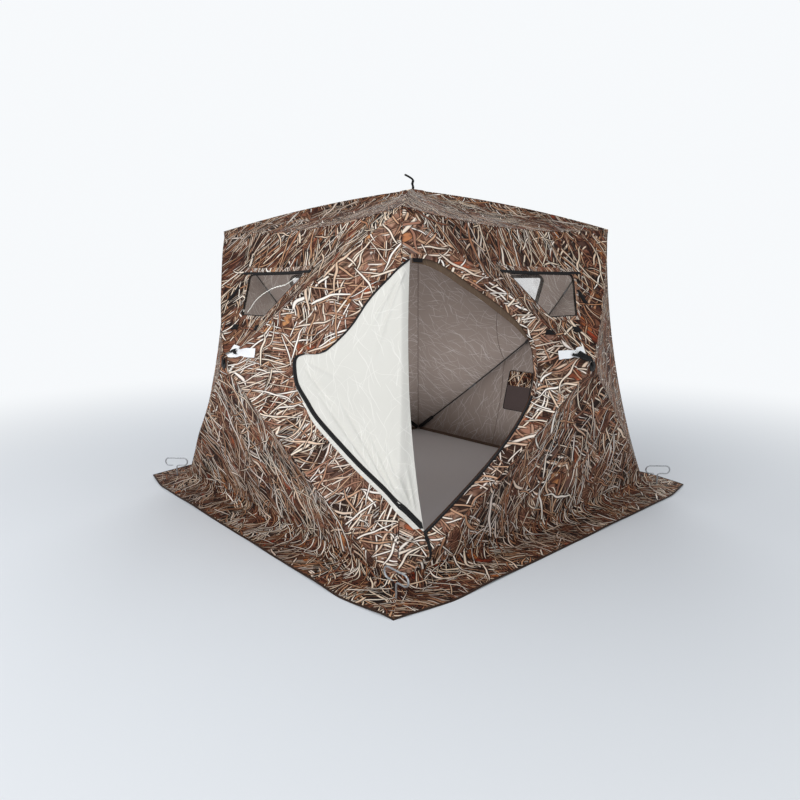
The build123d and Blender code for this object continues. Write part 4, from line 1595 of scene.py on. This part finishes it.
def make_anchor(side):
    """The wire eye of an ice screw: a neck, a bend and a flat open loop."""
    low = NECK - WIRE
    half = LOOP_WIDTH / 2
    straight = LOOP_LENGTH / 2 - half
    line = [(0, 0, 0.0), (0, 0, 0.02), (0, 0, 0.04), (0, 0, low - NECK_BEND)]
    for a in np.linspace(0, math.pi / 2, 7)[1:]:
        line.append((NECK_BEND * (1 - math.cos(a)), 0, low - NECK_BEND * (1 - math.sin(a))))
    for end in (1, -1):
        for a in np.linspace(0, math.pi, 17):
            line.append((end * (straight + half * math.sin(a)), 0, low + half * (1 - end * math.cos(a))))
    line.append((-LOOP_GAP, 0, low))
    line = np.array(line)
    heading = math.radians(ANCHOR_HEADINGS[side])
    reach = BASE_HALF + ANCHOR_OUT
    foot = turned([reach, -reach, 0.0], side)
    out = line[:, 0]
    line = np.stack([foot[0] + out * math.cos(heading), foot[1] + out * math.sin(heading), line[:, 2]], -1)
    radii = np.full(len(line), WIRE)
    radii[-1] = WIRE * 0.75
    obj = joined(f"ice_anchor_wire_{side + 1}", [(*tube(line, radii, 14), 0)], [ZINC])
    piece(obj, f"ice_anchor_{side + 1}")


for side in range(4):
    make_wall(side)
    make_roof(side)
    make_seams(side)
    make_skirt(side)
    make_window(side)
    make_pull(side)
    make_anchor(side)
    make_inner_seams(side)
make_frame()
make_flap()
make_fixed_zip()
make_draft_band()
make_pocket()
make_roof_strap()

# Camera and stage

CAMERA_PLACE = Vector((3.1876, -2.9486, 1.3904))
CAMERA_TURN = math.radians(135 + 3.36)
CAMERA_TILT = math.radians(-10.40)
FOCAL_PIXELS = 616.8
IMAGE_SIZE = 800
SENSOR = 36.0
FLOOR_HALF = 60.0
# Colours of the plain surroundings as the camera sees them, and of their light
PLAIN = (0.93, 0.95, 0.97)
DAYLIGHT = (0.94, 0.97, 1.0)


def make_camera():
    forward = Vector((
        math.cos(CAMERA_TURN) * math.cos(CAMERA_TILT),
        math.sin(CAMERA_TURN) * math.cos(CAMERA_TILT),
        math.sin(CAMERA_TILT),
    ))
    right = Vector((math.sin(CAMERA_TURN), -math.cos(CAMERA_TURN), 0))
    up = right.cross(forward)
    data = bpy.data.cameras.new("camera")
    data.sensor_width = SENSOR
    data.lens = FOCAL_PIXELS / IMAGE_SIZE * SENSOR
    data.clip_end = 200
    camera = bpy.data.objects.new("camera", data)
    camera.matrix_world = Matrix((
        (right.x, up.x, -forward.x, CAMERA_PLACE.x),
        (right.y, up.y, -forward.y, CAMERA_PLACE.y),
        (right.z, up.z, -forward.z, CAMERA_PLACE.z),
        (0, 0, 0, 1),
    ))
    bpy.context.scene.collection.objects.link(camera)
    bpy.context.scene.camera = camera


def make_stage():
    """A pale floor that fades to plain white far away, like a studio sweep."""
    corners = [(x * FLOOR_HALF, y * FLOOR_HALF, 0) for x, y in ((-1, -1), (1, -1), (1, 1), (-1, 1))]
    floor = new_object("floor", corners, [(0, 1, 2, 3)])
    material, n = new_material("pale_floor")
    place = n.add("ShaderNodeNewGeometry").outputs["Position"]
    away = n.vector("LENGTH", place).node.outputs["Value"]
    diffuse = n.add("ShaderNodeBsdfDiffuse", {"Color": srgb("dfe3e8")})
    glow = n.add("ShaderNodeEmission", {"Color": PLAIN, "Strength": 1.0})
    path = n.add("ShaderNodeLightPath").outputs
    seen = n.math("MAXIMUM", path["Is Camera Ray"], path["Is Transmission Ray"])
    seen = n.math("MAXIMUM", seen, path["Is Glossy Ray"])
    share = n.times(n.ramp(away, 1.6, 6.5), seen)
    n.end(n.add("ShaderNodeMixShader", {0: share, 1: diffuse.outputs[0], 2: glow.outputs[0]}))
    floor.data.materials.append(material)


# Lamps: name, place, what each is turned to, power in watts, size
LAMPS = [
    ("key", (1.5, -6.2, 4.3), (0, -0.6, 0.8), 235, 3.5),
    ("side", (6.0, -0.8, 2.6), (0.6, 0, 0.8), 55, 3.0),
    ("back", (-5.0, 5.0, 4.0), (0, 0, 0.8), 230, 4.0),
    ("inside", (0.0, 0.0, 0.06), (0.0, 0.001, 1.2), 31, 1.4),
]


def make_light():
    world = bpy.data.worlds.new("studio")
    bpy.context.scene.world = world
    world.use_nodes = True
    n = Nodes(world.node_tree)
    n.tree.nodes.clear()
    path = n.add("ShaderNodeLightPath").outputs
    seen = n.math("MAXIMUM", path["Is Camera Ray"], path["Is Transmission Ray"])
    soft = n.add("ShaderNodeBackground", {"Color": DAYLIGHT, "Strength": 0.50})
    plain = n.add("ShaderNodeBackground", {"Color": PLAIN, "Strength": 1.0})
    mixed = n.add("ShaderNodeMixShader", {0: seen, 1: soft.outputs[0], 2: plain.outputs[0]})
    n.end(mixed, "ShaderNodeOutputWorld")
    for name, place, aim, energy, size in LAMPS:
        data = bpy.data.lights.new(name, "AREA")
        data.energy = energy
        data.size = size
        lamp = bpy.data.objects.new(name, data)
        lamp.location = place
        lamp.rotation_euler = (Vector(aim) - Vector(place)).to_track_quat("-Z", "Y").to_euler()
        lamp.visible_camera = False
        bpy.context.scene.collection.objects.link(lamp)


make_camera()
make_stage()
make_light()
bpy.context.scene.view_settings.view_transform = "Standard"
